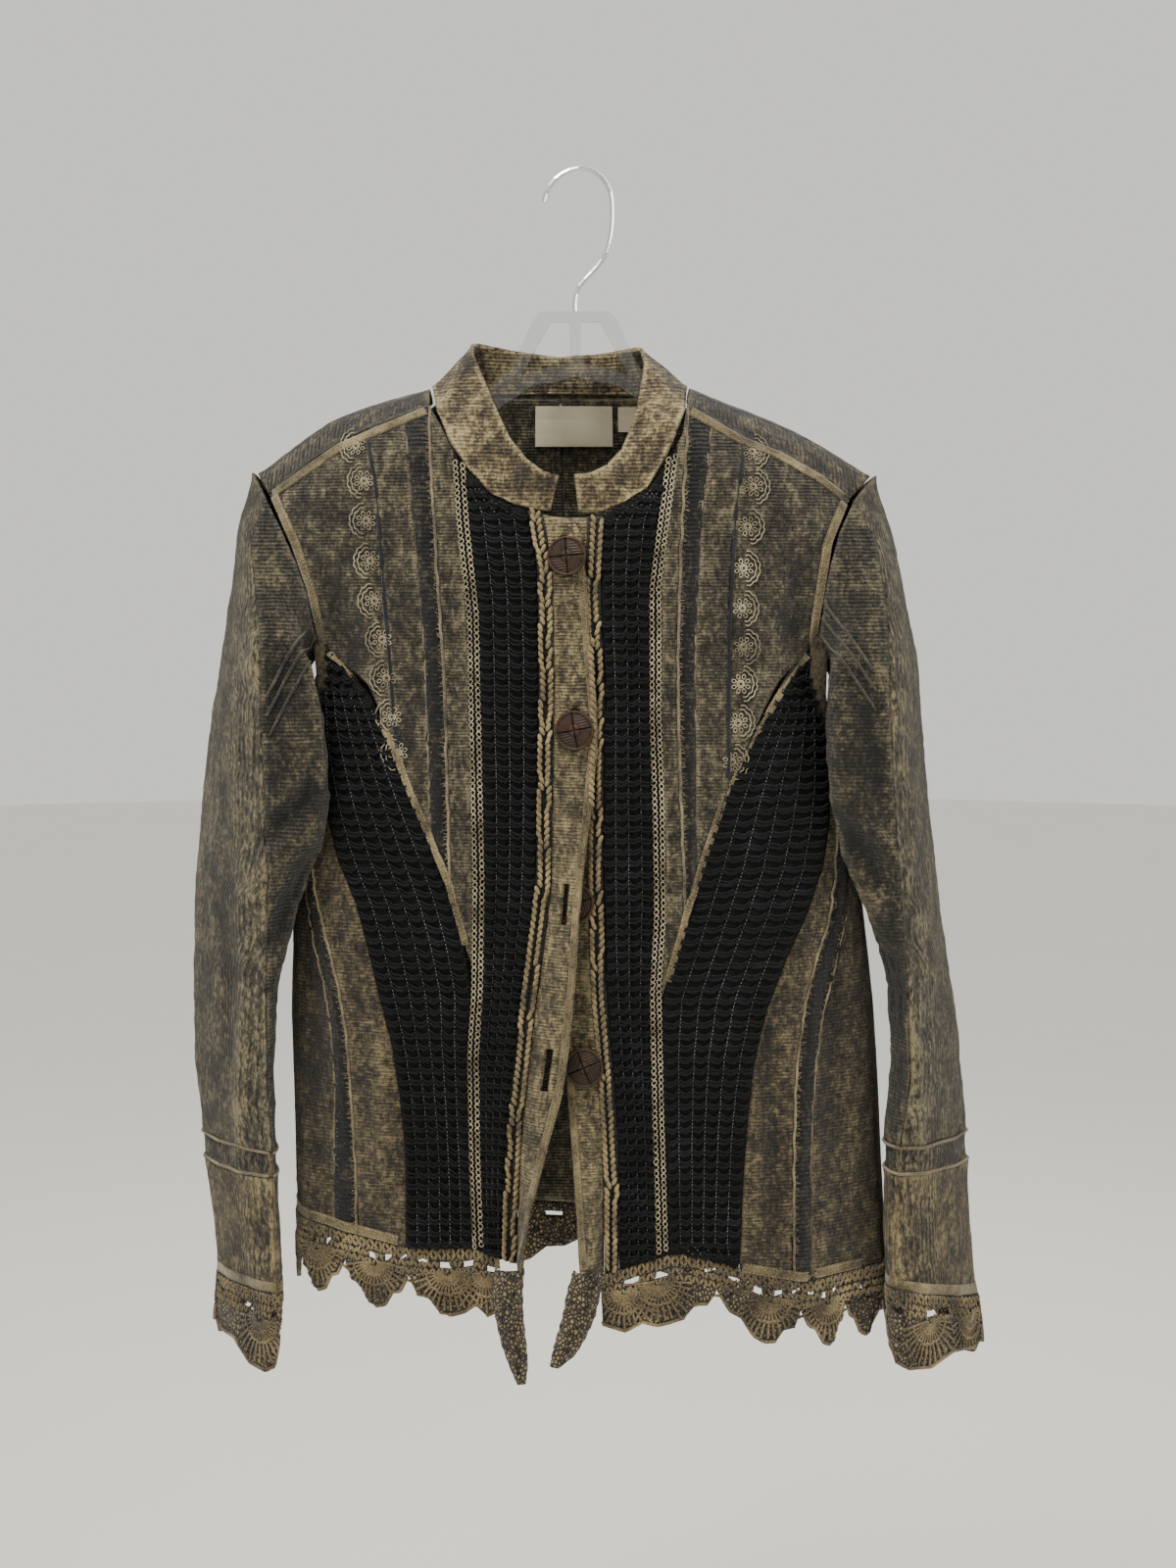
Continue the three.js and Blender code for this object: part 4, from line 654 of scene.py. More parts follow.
CLOTH["collar"] = dressed("collar", COLLAR_CLOTH, 0.6, longest=COLLAR_FINE)
for lace in ("hem_lace_left", "hem_lace_right", "hem_lace_back",
             *(f"cuff_lace_{side}_{hand}" for side in ("front", "back") for hand in ("left", "right"))):
    CLOTH[lace] = dressed(lace, LACE_GROUND, 0.5, longest=LACE_FINE)
print("cloth pieces:", len(CLOTH), "triangles:", sum(len(p.data.polygons) for p in CLOTH.values()))

# %% [markdown]
# ## Seating a trim on cloth
# Trims are laid on after the cloth has its creases, so that they follow every fold. A
# ray dropped on the piece gives the point and the way it faces; `borders` follows the
# two long seams of a piece, and `rope`, `tape` and `stamped` make the trims there.

# %% Seats and borders
def tree_of(*names):
    vertices, faces, shift = [], [], 0
    for name in names:
        mesh = CLOTH[name].data
        vertices += [v.co.copy() for v in mesh.vertices]
        faces += [[i + shift for i in p.vertices] for p in mesh.polygons]
        shift = len(vertices)
    return BVHTree.FromPolygons(vertices, faces)


def seat(tree, x, z, lift=0.0, side=-1):
    """The outer point of the cloth at x and z, seen from the front or the back."""
    hit, normal, _, _ = tree.ray_cast(Vector((x, side * 0.4, z)), Vector((0, -side, 0)))
    if hit is None:
        return None
    if normal.y * side < 0:
        normal = -normal
    return hit + normal * lift, normal


def seat_round(tree, kind, angle, z, lift=0.0):
    """The same from all round a sleeve or the body, at an angle from the front."""
    middle_x, middle_y = (float(v[0]) for v in axis_at(kind, np.array([z])))
    way = Vector((math.sin(angle), -math.cos(angle), 0))
    start = Vector((middle_x, middle_y, z)) + way * 0.35
    hit, normal, _, _ = tree.ray_cast(start, -way)
    if hit is None:
        return None
    if normal.dot(way) < 0:
        normal = -normal
    return hit + normal * lift, normal


def borders(name, step):
    """Points down the left and the right border of a piece, one pair for each height."""
    kind = kind_of(name)
    mesh = CLOTH[name].data
    points = np.array([v.co for v in mesh.vertices])
    edges = np.array([e.vertices[:] for e in mesh.edges])
    turn = float(angle_round(kind, points.mean(0)[None, :], 0)[0])
    angles = angle_round(kind, points, turn)
    low_z, high_z = points[:, 2].min() + MM, points[:, 2].max() - MM
    heights = np.arange(high_z, low_z, -step)
    a, b = edges[:, 0], edges[:, 1]
    pairs = []
    for z in heights:
        cross = (np.minimum(points[a, 2], points[b, 2]) <= z) & (np.maximum(points[a, 2], points[b, 2]) > z)
        if not cross.any():
            continue
        pa, pb = points[a[cross]], points[b[cross]]
        share = ((z - pa[:, 2]) / (pb[:, 2] - pa[:, 2]))[:, None]
        at = pa + (pb - pa) * share
        turn_at = angles[a[cross]] * (1 - share[:, 0]) + angles[b[cross]] * share[:, 0]
        pairs.append((at[turn_at.argmin()], at[turn_at.argmax()]))
    return pairs


def evenly_along(track, step):
    """Points a step apart along a track of x and z in mm, in metres."""
    track = np.array(track, float) * MM
    runs = np.r_[0, np.cumsum(np.hypot(*np.diff(track, axis=0).T))]
    at = np.arange(0, runs[-1], step)
    return [(np.interp(s, runs, track[:, 0]), np.interp(s, runs, track[:, 1])) for s in at]


def seated_track(tree, track, step, lift, side=-1, shift=0.0):
    """Seats a step apart along a track, but for places where the ray misses."""
    found = [seat(tree, x + shift, z, lift, side) for x, z in evenly_along(track, step)]
    return [at for at in found if at]


print("seats ready")

# %% Ropes, tapes and stamps
TRIMS = {}
ARCH = 0.3


def laid(name, mesh, finish, replaced=()):
    mesh.materials.clear()
    mesh.materials.append(finish)
    mesh.polygons.foreach_set("use_smooth", np.ones(len(mesh.polygons), bool))
    piece = bpy.data.objects.new(name, mesh)
    bpy.context.scene.collection.objects.link(piece)
    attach(piece, "root")
    if replaced:
        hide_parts(*replaced)
    TRIMS[name] = piece
    return piece


def rope(name, paths, radius, finish, rounds=1):
    """Round threads along many paths, as one mesh."""
    line = bpy.data.curves.new(name, "CURVE")
    line.dimensions, line.bevel_depth, line.bevel_resolution, line.use_fill_caps = "3D", radius, rounds, True
    for path in paths:
        if len(path) < 2:
            continue
        spline = line.splines.new("POLY")
        spline.points.add(len(path) - 1)
        spline.points.foreach_set("co", [c for p in path for c in (*p, 1.0)])
    holder = bpy.data.objects.new(name + "_line", line)
    bpy.context.scene.collection.objects.link(holder)
    mesh = bpy.data.meshes.new_from_object(holder.evaluated_get(bpy.context.evaluated_depsgraph_get()))
    bpy.data.objects.remove(holder)
    return laid(name, mesh, finish)


def tape(name, tracks, width, thickness, finish):
    """Flat ribbons: each track is a list of (point, normal) that the ribbon's middle follows."""
    whole = bmesh.new()
    for track in tracks:
        if len(track) < 2:
            continue
        band = bmesh.new()
        bmesh.ops.create_grid(band, x_segments=4, y_segments=len(track) - 1, size=0.5)
        band.verts.ensure_lookup_table()
        for v in band.verts:
            share, row = v.co.x, round((v.co.y + 0.5) * (len(track) - 1))
            point, normal = track[row]
            along = (track[min(row + 1, len(track) - 1)][0] - track[max(row - 1, 0)][0]).normalized()
            sideways = along.cross(normal).normalized()
            v.co = point + sideways * (share * width) + normal * (
                ARCH * thickness * math.cos(math.pi * share)
            )
        bmesh.ops.recalc_face_normals(band, faces=band.faces)
        middle = track[len(track) // 2]
        face = min(band.faces, key=lambda f: (f.calc_center_median() - middle[0]).length)
        if face.normal.dot(middle[1]) < 0:
            bmesh.ops.reverse_faces(band, faces=band.faces)
        bmesh.ops.solidify(band, geom=band.faces[:], thickness=thickness)
        part = bpy.data.meshes.new("part")
        band.to_mesh(part)
        band.free()
        whole.from_mesh(part)
        bpy.data.meshes.remove(part)
    mesh = bpy.data.meshes.new(name)
    whole.to_mesh(mesh)
    whole.free()
    return laid(name, mesh, finish)


def stamped(name, form, places, finish, replaced=()):
    """One small form, repeated at each 4 by 4 matrix, as one mesh."""
    corners = np.array([v.co[:] for v in form.vertices])
    faces = [np.array(p.vertices[:]) for p in form.polygons]
    moved = np.concatenate([(np.c_[corners, np.ones(len(corners))] @ np.array(m).T)[:, :3] for m in places])
    listed = [(f + k * len(corners)).tolist() for k in range(len(places)) for f in faces]
    mesh = bpy.data.meshes.new(name)
    mesh.from_pydata(moved.tolist(), [], listed)
    return laid(name, mesh, finish, replaced)


def frame_at(point, normal, along, scale=(1, 1, 1), spin=0.0):
    """A matrix whose y runs along, whose z stands off the cloth, and which lies at the point."""
    z = normal.normalized()
    y = (along - z * along.dot(z)).normalized()
    x = y.cross(z)
    basis = Matrix((x, y, z)).transposed().to_4x4() @ Matrix.Rotation(spin, 4, "Z")
    return Matrix.Translation(point) @ basis @ Matrix.Diagonal((*scale, 1))


def ring_form(radius, wire, around=9, sides=5):
    form = bmesh.new()
    bmesh.ops.create_circle(
        form, radius=wire, segments=sides,
        matrix=Matrix.Translation((radius, 0, 0)) @ Matrix.Rotation(math.pi / 2, 4, "X")
    )
    bmesh.ops.spin(
        form, geom=form.verts[:] + form.edges[:], cent=(0, 0, 0), axis=(0, 0, 1), angle=2 * math.pi,
        steps=around, use_merge=True
    )
    bmesh.ops.remove_doubles(form, verts=form.verts, dist=1e-7)
    bmesh.ops.recalc_face_normals(form, faces=form.faces)
    mesh = bpy.data.meshes.new("ring_form")
    form.to_mesh(mesh)
    return mesh


def grain_form(sides=7, rings=5):
    form = bmesh.new()
    bmesh.ops.create_uvsphere(form, u_segments=sides, v_segments=rings, radius=1)
    bmesh.ops.rotate(form, verts=form.verts, cent=(0, 0, 0), matrix=Matrix.Rotation(math.pi / 2, 3, "X"))
    mesh = bpy.data.meshes.new("grain_form")
    form.to_mesh(mesh)
    return mesh


LINK, GRAIN, CROCHET, STITCH = ring_form(1.0, 0.26), grain_form(), grain_form(6, 4), grain_form(5, 3)
print("forms:", len(LINK.polygons), len(GRAIN.polygons), len(CROCHET.polygons), len(STITCH.polygons))

# %% [markdown]
# ## Black smocked mesh
# Each mesh panel is a ladder: dotted lines of grey stitching run down it, and between
# them small ruched rungs cross it about 8 mm apart, sagging a little. The panel
# under them stays as the dark ground.

# %% Smocked mesh
FRONT_PARTS = [p for p in BODY_FINISH if not p.startswith(("sleeve", "cuff", "back", "yoke"))]
FRONT = tree_of(*(f"{p}_{h}" for p in FRONT_PARTS for h in ("left", "right")), "yoke_left", "yoke_right")
BACK = tree_of("back_left", "back_right", "yoke_left", "yoke_right")
SLEEVES = {
    h: tree_of(
        *(f"{p}_{h}" for p in ("sleeve_top", "sleeve_under", "sleeve_raw_strip", "sleeve_band", "cuff"))
    )
    for h in ("left", "right")
}
dice = random.Random(11)
LADDERS = (("centre_mesh", 4, 7.6), ("side_mesh", 6, 7.9))
rungs, mesh_stitches = [], []
for hand in ("left", "right"):
    for part, wide_columns, pitch in LADDERS:
        name = f"{part}_{hand}"
        tree, pairs = tree_of(name), borders(name, step=pitch * MM)
        widths = [b[0] - a[0] for a, b in pairs]
        full = float(np.median(widths))
        last = {}
        for row, (left, right) in enumerate(pairs):
            z, width = float(left[2]), float(right[0] - left[0])
            if width < 5 * MM:
                continue
            columns = wide_columns if width > 0.55 * full else max(2, round(width / (9 * MM)))
            if part == "centre_mesh":
                columns = wide_columns
            path = []
            for k in range(columns):
                for t in (0.0, 0.28, 0.6, 0.86):
                    share = (k + t) / columns
                    sag = -2.3 * math.sin(math.pi * t) + (0.8 if hand == "right" else -0.3) * (t - 0.5) * 2
                    at = seat(
                        tree, left[0] + width * share, z + (sag + dice.uniform(-0.4, 0.4)) * MM,
                        (0.7 + 1.1 * math.sin(math.pi * t)) * MM
                    )
                    if at:
                        path.append(at[0])
            if len(path) > 2:
                rungs.append(path)
                rungs.append([p + Vector((0.5 * MM, 0.35 * MM, dice.uniform(1.6, 2.4) * MM)) for p in path])
            for k in range(1, columns):
                x = left[0] + width * k / columns
                here = seat(tree, x, z, 1.3 * MM)
                before = last.get((k, columns))
                if here and before is not None and (before - here[0]).length < 2.2 * pitch * MM:
                    run = before - here[0]
                    for t in (0.12, 0.42, 0.72):
                        mesh_stitches.append(
                            frame_at(here[0] + run * t, here[1], run, (0.32 * MM, 0.85 * MM, 0.3 * MM))
                        )
                if here:
                    last[(k, columns)] = here[0]
rope("mesh_rungs", rungs, 1.0 * MM, SMOCKING, rounds=0)
stamped("mesh_stitches", STITCH, mesh_stitches, STITCH_GREY)
print("rungs:", len(rungs), "stitches:", len(mesh_stitches))

# %% [markdown]
# ## Chain trims and braids
# A chain trim is columns of tiny linked rings. A braid is plaited: two columns of fat
# grains that lean towards each other like an ear of wheat.

# %% Chains and braids
CHAIN_TRACKS = {
    "left": [
        (-80, -207), (-77, -248), (-70, -310), (-69, -355), (-66, -489), (-67, -562), (-70, -606),
        (-69, -680), (-67, -738)
    ],
    "right": [
        (63.5, -205), (52, -292), (52, -380), (54, -438), (55, -511), (52, -562), (54, -650), (56, -710),
        (57, -741)
    ],
}
BRAID_TRACKS = {
    "left": [
        (-28.5, -241), (-22, -281), (-21, -354), (-23, -488), (-34, -576), (-42, -650), (-45, -703),
        (-46, -743)
    ],
    "right": [
        (12.5, -246), (10, -292), (13, -366), (12, -424), (12, -488), (14, -562), (19, -620), (23, -694),
        (23, -750)
    ],
}
links, grains = [], []
for hand in ("left", "right"):
    for x, z in evenly_along(CHAIN_TRACKS[hand], 4.1 * MM):
        for column in (-1, 1):
            at = seat(FRONT, x + column * 2.2 * MM, z + column * 1.0 * MM, 0.7 * MM)
            if at:
                links.append(
                    frame_at(
                        at[0], at[1], Vector((0.45 * column, 0, -1)), (1.45 * MM, 1.9 * MM, 1.7 * MM),
                        dice.uniform(-0.25, 0.25)
                    )
                )
    for x, z in evenly_along(BRAID_TRACKS[hand], 4.6 * MM):
        for column in (-1, 1):
            at = seat(FRONT, x + column * 2.6 * MM, z - (0.5 + 0.5 * column) * 2.2 * MM, 1.2 * MM)
            if at:
                grains.append(
                    frame_at(at[0], at[1], Vector((-column * 0.62, 0, -1)), (1.45 * MM, 3.3 * MM, 1.6 * MM))
                )
stamped("chain_links", LINK, links, CHAIN_THREAD)
stamped("braid_grains", GRAIN, grains, BRAID_THREAD)
print("links:", len(links), "grains:", len(grains))

# %% [markdown]
# ## Raw edges
# The narrow dark strips were cut on the straight and left raw, so each long edge has
# rolled into a pale cord of loose threads. The cord wanders and frays as it goes.

# %% Raw edges
cords, hairs = [], []
HAIRS_EACH = 2
for hand in ("left", "right"):
    for part in ("raw_strip", "low_raw_strip", "sleeve_raw_strip"):
        name = f"{part}_{hand}"
        kind = kind_of(name)
        for which in (0, 1):
            pairs = borders(name, step=3.2 * MM)
            path = []
            for k, pair in enumerate(pairs):
                point = Vector(pair[which])
                out = Vector(outward_hint(kind, np.array([pair[which]]))[0])
                sway = 0.9 * MM * noise.noise(Vector((k * 0.31, which * 9.0, len(cords))))
                inward = Vector(pair[1 - which]) - point
                inward = inward.normalized() if inward.length > 0 else Vector()
                spot = point + out * (
                    0.9 + 0.5 * noise.noise(Vector((k * 0.5, 3, which)))
                ) * MM + inward * (0.4 * MM + sway)
                path.append(spot)
                for _ in range(HAIRS_EACH):
                    lean = (
                        inward * dice.uniform(0.6, 1.4) + Vector(
                            (0, 0, dice.uniform(-0.9, 0.9))
                        ) + out * dice.uniform(0.05, 0.5)
                    ).normalized()
                    hairs.append(
                        [
                            spot,
                            spot + lean * dice.uniform(1.8, 4.6) * MM + Vector(
                                (0, 0, dice.uniform(-1, 1) * MM)
                            )
                        ]
                    )
            cords.append(path)
rope("raw_edges", cords, 0.95 * MM, FRAY_THREAD)
rope("raw_edge_hairs", hairs, 0.22 * MM, FRAY_THREAD, rounds=0)
print("raw edges:", len(cords), "hairs:", len(hairs))

# %% [markdown]
# ## Seam bands, tape and top-stitching
# Pale folded bands cover the shoulder, armhole, mesh and hem seams, each held by two
# rows of stitches. A dark tape runs down each side of the chest.

# %% Bands
BAND_TRACKS = {
    "shoulder_left": ([(-104, -172), (-163, -197), (-210, -229)], -1, 6.5, 1.0),
    "shoulder_right": ([(77, -172), (111, -192), (139, -203), (164, -217), (184, -232)], -1, 6.5, 1.0),
    "armhole_left": (
        [(-208, -229), (-201, -243), (-192, -262), (-181, -293), (-176, -319), (-173, -333)], -1, 6.5, 1.2
    ),
    "armhole_right": (
        [(182, -234), (176, -247), (170, -261), (166, -288), (163, -308), (160, -333)], -1, 6.5, 1.2
    ),
    "mesh_left": (
        [
            (-170, -337), (-159, -346), (-142, -360), (-124, -399), (-113, -427), (-96, -465), (-86, -491),
            (-76, -525), (-71, -556)
        ],
        -1, 5.0, 1.1
    ),
    "mesh_right": (
        [
            (158, -339), (150, -346), (139, -361), (121, -390), (105, -419), (91, -453), (79, -490),
            (68, -528), (57, -566)
        ],
        -1, 5.0, 1.1
    ),
    "hem_left": ([(-196, -719), (-167, -724), (-137, -731), (-119, -734)], -1, 7.0, 0.9),
    "hem_right": ([(111, -750), (129, -753), (151, -757), (197, -755)], -1, 7.0, 0.9),
}
bands, band_stitches = [], []
TRACK_STEP = 4 * MM


def stitch_rows(track, offset, into, step=2.6 * MM, size=(0.3, 0.85, 0.28)):
    """A row of small stitches beside a seated track."""
    points = [p for p, _ in track]
    runs = np.r_[0, np.cumsum([(b - a).length for a, b in zip(points, points[1:])])]
    for s in np.arange(step, runs[-1], step):
        k = int(np.searchsorted(runs, s)) - 1
        share = (s - runs[k]) / max(runs[k + 1] - runs[k], 1e-9)
        point, normal = points[k].lerp(points[k + 1], share), track[k][1]
        along = (points[k + 1] - points[k]).normalized()
        into.append(
            frame_at(
                point + along.cross(normal).normalized() * offset, normal, along,
                tuple(v * MM for v in size)
            )
        )


for name, (track, side, width, lift) in BAND_TRACKS.items():
    seated = seated_track(FRONT, track, TRACK_STEP, lift * MM, side)
    bands.append((seated, width))
    for offset in (-0.33, 0.33):
        stitch_rows([(p + n * 0.45 * MM, n) for p, n in seated], offset * width * MM, band_stitches)
back_armholes = []
for hand, inward in (("left", 3 * MM), ("right", -3 * MM)):
    track = BAND_TRACKS[f"armhole_{hand}"][0]
    seated = seated_track(BACK, track, TRACK_STEP, 0.9 * MM, 1, inward)
    back_armholes.append(seated)
    stitch_rows([(p + n * 0.45 * MM, n) for p, n in seated], 2 * MM, band_stitches)
centre_back = seated_track(BACK, [(-13, -166), (5, -738)], 5 * MM, 0.8 * MM, 1)
tape("seam_bands", [t for t, w in bands if w > 6] + back_armholes, 6.5 * MM, 0.9 * MM, BAND_CLOTH)
tape("mesh_bindings", [t for t, w in bands if w <= 6], 5.0 * MM, 1.1 * MM, BAND_CLOTH)
tape("centre_back_seam", [centre_back], 5.0 * MM, 0.8 * MM, COTTON)
stitch_rows([(p + n * 0.4 * MM, n) for p, n in centre_back], 1.6 * MM, band_stitches)
stitch_rows([(p + n * 0.4 * MM, n) for p, n in centre_back], -1.6 * MM, band_stitches)
NAVY_TRACKS = {
    "left": [(-143, -190), (-136, -226), (-130, -301), (-121, -411)],
    "right": [(113, -196), (107, -239), (102, -317), (101, -423)]
}
navy = [seated_track(FRONT, t, TRACK_STEP, 0.8 * MM) for t in NAVY_TRACKS.values()]
NECK_SEAM = [(x, -159.5) for x in range(-97, 72, 8)]
neck_seam = [
    (at[0] + Vector((0, 0, 3.6 * MM)), at[1])
    for at in (seat(BACK, x * MM, z * MM, 0.6 * MM, 1) for x, z in NECK_SEAM)
    if at
]
tape("back_neck_seam", [neck_seam], 8.5 * MM, 0.9 * MM, COTTON)
tape("navy_tape", navy, 2.6 * MM, 0.9 * MM, NAVY_TAPE)
PLACKET_EDGES = {
    "left": [
        (-39, -738), (-28, -683), (-11, -618), (-4, -553), (-1, -504), (5, -450), (11, -387), (6, -330),
        (2, -271), (0, -256)
    ],
    "right": [(4, -742), (0, -683), (-5, -618), (-9, -560)],
}
edgings = [seated_track(tree_of(f"placket_{h}"), t, TRACK_STEP, 0.5 * MM) for h, t in PLACKET_EDGES.items()]
tape("placket_edging", edgings, 4.4 * MM, 0.6 * MM, BAND_CLOTH)
for track in edgings:
    for offset in (-1.9, 1.2):
        stitch_rows(
            [(p + n * 0.3 * MM, n) for p, n in track], offset * MM, band_stitches, 1.5 * MM,
            (0.22, 0.55, 0.22)
        )
stamped("band_stitches", STITCH, band_stitches, DAISY_THREAD)
print("band stitches:", len(band_stitches))

# %% [markdown]
# ## Thread flowers
# Beside each dark tape hangs a row of embroidered flowers: a ring, a ring of petals,
# and a scalloped outer line towards the arm.

# %% Flowers
FLOWERS = {
    "left": [
        (-149, -196), (-143, -220), (-141, -247), (-138, -274), (-135, -301), (-130, -327), (-127, -353),
        (-123, -379), (-119, -403)
    ],
    "right": [
        (117, -200), (117, -224), (113, -251), (110, -279), (109, -306), (110, -332), (108, -357),
        (106, -383), (102, -409)
    ],
}
PETALS, PETAL_REACH = 8, 5.1
SCALLOP_LINES, ARC_STEPS = ((8.0, 5), (10.6, 6)), 24
petals, cores, scallops = [], [], []
for hand, sign in (("left", -1), ("right", 1)):
    for x, z in FLOWERS[hand]:
        at = seat(FRONT, (x + sign * 1.5) * MM, z * MM, 0.9 * MM)
        if not at:
            continue
        centre, normal = at
        down = Vector((0, 0, -1))
        for k in range(2):
            cores.append(
                frame_at(
                    centre + normal * 0.3 * MM * k, normal, down, ((2.4 - 1.1 * k) * MM,) * 2 + (1.3 * MM,)
                )
            )
        for k in range(PETALS):
            turn = 2 * math.pi * (k + 0.5) / PETALS
            spot = seat(
                FRONT, centre.x + PETAL_REACH * MM * math.cos(turn),
                centre.z + PETAL_REACH * MM * math.sin(turn), 0.8 * MM
            )
            if spot:
                way = Vector((math.cos(turn), 0, math.sin(turn)))
                petals.append(frame_at(spot[0], spot[1], way, (1.2 * MM, 1.6 * MM, 1.1 * MM)))
        for reach, lobes in SCALLOP_LINES:
            path = []
            for k in range(ARC_STEPS + 1):
                turn = math.radians(-80 + 160 * k / ARC_STEPS)
                bump = 0.9 * abs(math.sin(lobes * math.pi * k / ARC_STEPS))
                spot = seat(
                    FRONT, centre.x + sign * (reach + bump) * MM * math.cos(turn),
                    centre.z + (reach + bump) * MM * 1.08 * math.sin(turn), 0.9 * MM
                )
                if spot:
                    path.append(spot[0])
            scallops.append(path)
stamped(
    "flower_petals", LINK, petals, DAISY_THREAD,
    replaced=("scallop_lace_left", "scallop_lace_right")
)
stamped("flower_cores", LINK, cores, DAISY_THREAD)
rope("flower_scallops", scallops, 0.42 * MM, DAISY_THREAD, rounds=0)
print("petals:", len(petals))

# %% [markdown]
# ## Crochet lace
# The hem and cuffs end in crochet: an upright header, then fans that open from one
# stitch into a round lobe with three small scallops. The frame gives the ground and
# its outline; the threads are laid over it so that each fan can be read.

# %% Lace threads
FAN_RINGS, SPOKES = (8.5, 15.0), 17
HEADER_ROWS, HEADER_PITCH = (0.05, 0.14, 0.27, 0.39), 2.9 * MM


def lace_threads(name, fans, headers, rims):
    kind = kind_of(name)
    mesh = CLOTH[name].data
    tree = tree_of(name)
    points = np.array([v.co for v in mesh.vertices])
    edges = np.array([e.vertices[:] for e in mesh.edges])
    turn = float(angle_round(kind, points.mean(0)[None, :], 0)[0])
    angles = angle_round(kind, points, turn)
    stations = np.linspace(angles.min() + 0.004, angles.max() - 0.004, 420)
    flipped = np.stack([points[:, 0], points[:, 1], angles], 1)
    bottom, top = slices(flipped, edges, points[:, 2], stations)
    seats = [seat_round(tree, kind, a + turn, (t + b) / 2) for a, t, b in zip(stations, top, bottom)]
    runs, last = [0.0], None
    for k in range(1, len(stations)):
        a, b = seats[k - 1], seats[k]
        last = (b[0] - a[0]).length if a and b else (last or 0.5 * MM)
        runs.append(runs[-1] + min(last, 4 * MM))
    runs = np.array(runs)
    smooth = np.convolve(np.pad(bottom, 12, mode="edge"), np.ones(25) / 25, "valid")

    def at(s, z, lift):
        return seat_round(tree, kind, float(np.interp(s, runs, stations)) + turn, z, lift)

    rim = [at(s, z + 0.7 * MM, 0.2 * MM) for s, z in zip(runs[::2], bottom[::2])]
    path = []
    for spot in rim:
        if spot and (not path or (spot[0] - path[-1]).length < 12 * MM):
            path.append(spot[0])
        elif spot:
            rims.append(path)
            path = [spot[0]]
    rims.append(path)
    lows = [k for k in range(6, len(smooth) - 6) if smooth[k] == smooth[max(0, k - 22):k + 23].min()]
    lows = [k for i, k in enumerate(lows) if i == 0 or k - lows[i - 1] > 12]
    for k in lows:
        s0, z_top, z_low = runs[k], top[k], bottom[k]
        z0 = z_top - 0.34 * (z_top - z_low)
        for ring in FAN_RINGS:
            arc = []
            for t in range(0, 29):
                way = math.radians(-84 + 6 * t)
                reach = (ring + 1.1 * abs(math.sin(t * math.pi / 4))) * MM
                s, z = s0 + reach * math.sin(way), z0 - reach * math.cos(way)
                if runs[0] < s < runs[-1] and z > np.interp(s, runs, bottom) + 1.5 * MM:
                    spot = at(s, z, 1.0 * MM)
                    if spot:
                        arc.append(spot[0])
                        continue
                if len(arc) > 1:
                    fans.append(arc)
                arc = []
            fans.append(arc)
        for spoke in range(SPOKES):
            way = math.radians(-84 + 10.5 * spoke)
            path = []
            for t in range(1, 12):
                reach = t * 3.0 * MM
                s, z = s0 + reach * math.sin(way), z0 - reach * math.cos(way)
                if s < runs[0] or s > runs[-1] or z < np.interp(
                    s, runs, bottom
                ) + 1.2 * MM or reach * abs(math.sin(way)) > 25 * MM:
                    break
                spot = at(s, z, (0.5 + 0.25 * math.sin(t)) * MM)
                if spot:
                    path.append(spot[0])
            if len(path) > 1:
                fans.append(path)
    drop = float(np.median(top - bottom))
    for row, share in enumerate(HEADER_ROWS):
        for s in np.arange(1.5 * MM, runs[-1] - 1.5 * MM, HEADER_PITCH):
            z = np.interp(s, runs, top) - share * drop - (0.4 * MM if row == 0 else 0)
            if z < np.interp(s, runs, bottom) + 2 * MM:
                continue
            spot = at(s, z, 0.5 * MM)
            if spot:
                lean = 0.45 if (row + int(s / HEADER_PITCH)) % 2 else -0.45
                side = Vector((spot[1].y, -spot[1].x, 0))
                headers.append(
                    frame_at(
                        spot[0], spot[1], Vector((0, 0, -1)) + side * lean, (1.05 * MM, 2.6 * MM, 0.95 * MM)
                    )
                )


fans, headers, rims = [], [], []
LACES = [n for n in CLOTH if "lace" in n]
for name in LACES:
    lace_threads(name, fans, headers, rims)
rope("lace_fans", fans, 0.85 * MM, LACE_THREAD)
rope("lace_rims", rims, 1.15 * MM, LACE_THREAD)
stamped("lace_header", CROCHET, headers, LACE_THREAD)
print("fan threads:", len(fans), "header stitches:", len(headers))

# %% [markdown]
# The two front corners of the lace are not sewn down. They curl into narrow tails that
# hang below the button band, with the crochet rows running round them.

# %% Corner tails
TAIL_STEPS, CURL, FLATTENED = 26, 1.75, 0.55
TAILS = {
    "left": [
        (-45, -84, -744, 8.5), (-46, -87, -758, 8.5), (-45, -88, -775, 8.0), (-42, -88, -792, 7.0),
        (-39, -87, -806, 5.0), (-37, -86, -818, 1.6)
    ],
    "right": [
        (8, -78, -748, 9.5), (4, -81, -762, 10.0), (1, -83, -776, 9.5), (-4, -84, -789, 8.5),
        (-9, -84, -800, 6.5), (-15, -83, -808, 2.0)
    ],
}
tail_threads = []


def curled(keys, middle, row, turn, wide, dip=0.0):
    """A point of the curl at one row, turned away from its front line, in metres."""
    x, y, z = (np.interp(row, keys, line) for line in middle)
    back = wide * FLATTENED * (1 - math.cos(turn)) - dip
    return Vector((x + wide * math.sin(turn), y + back, z)) * MM


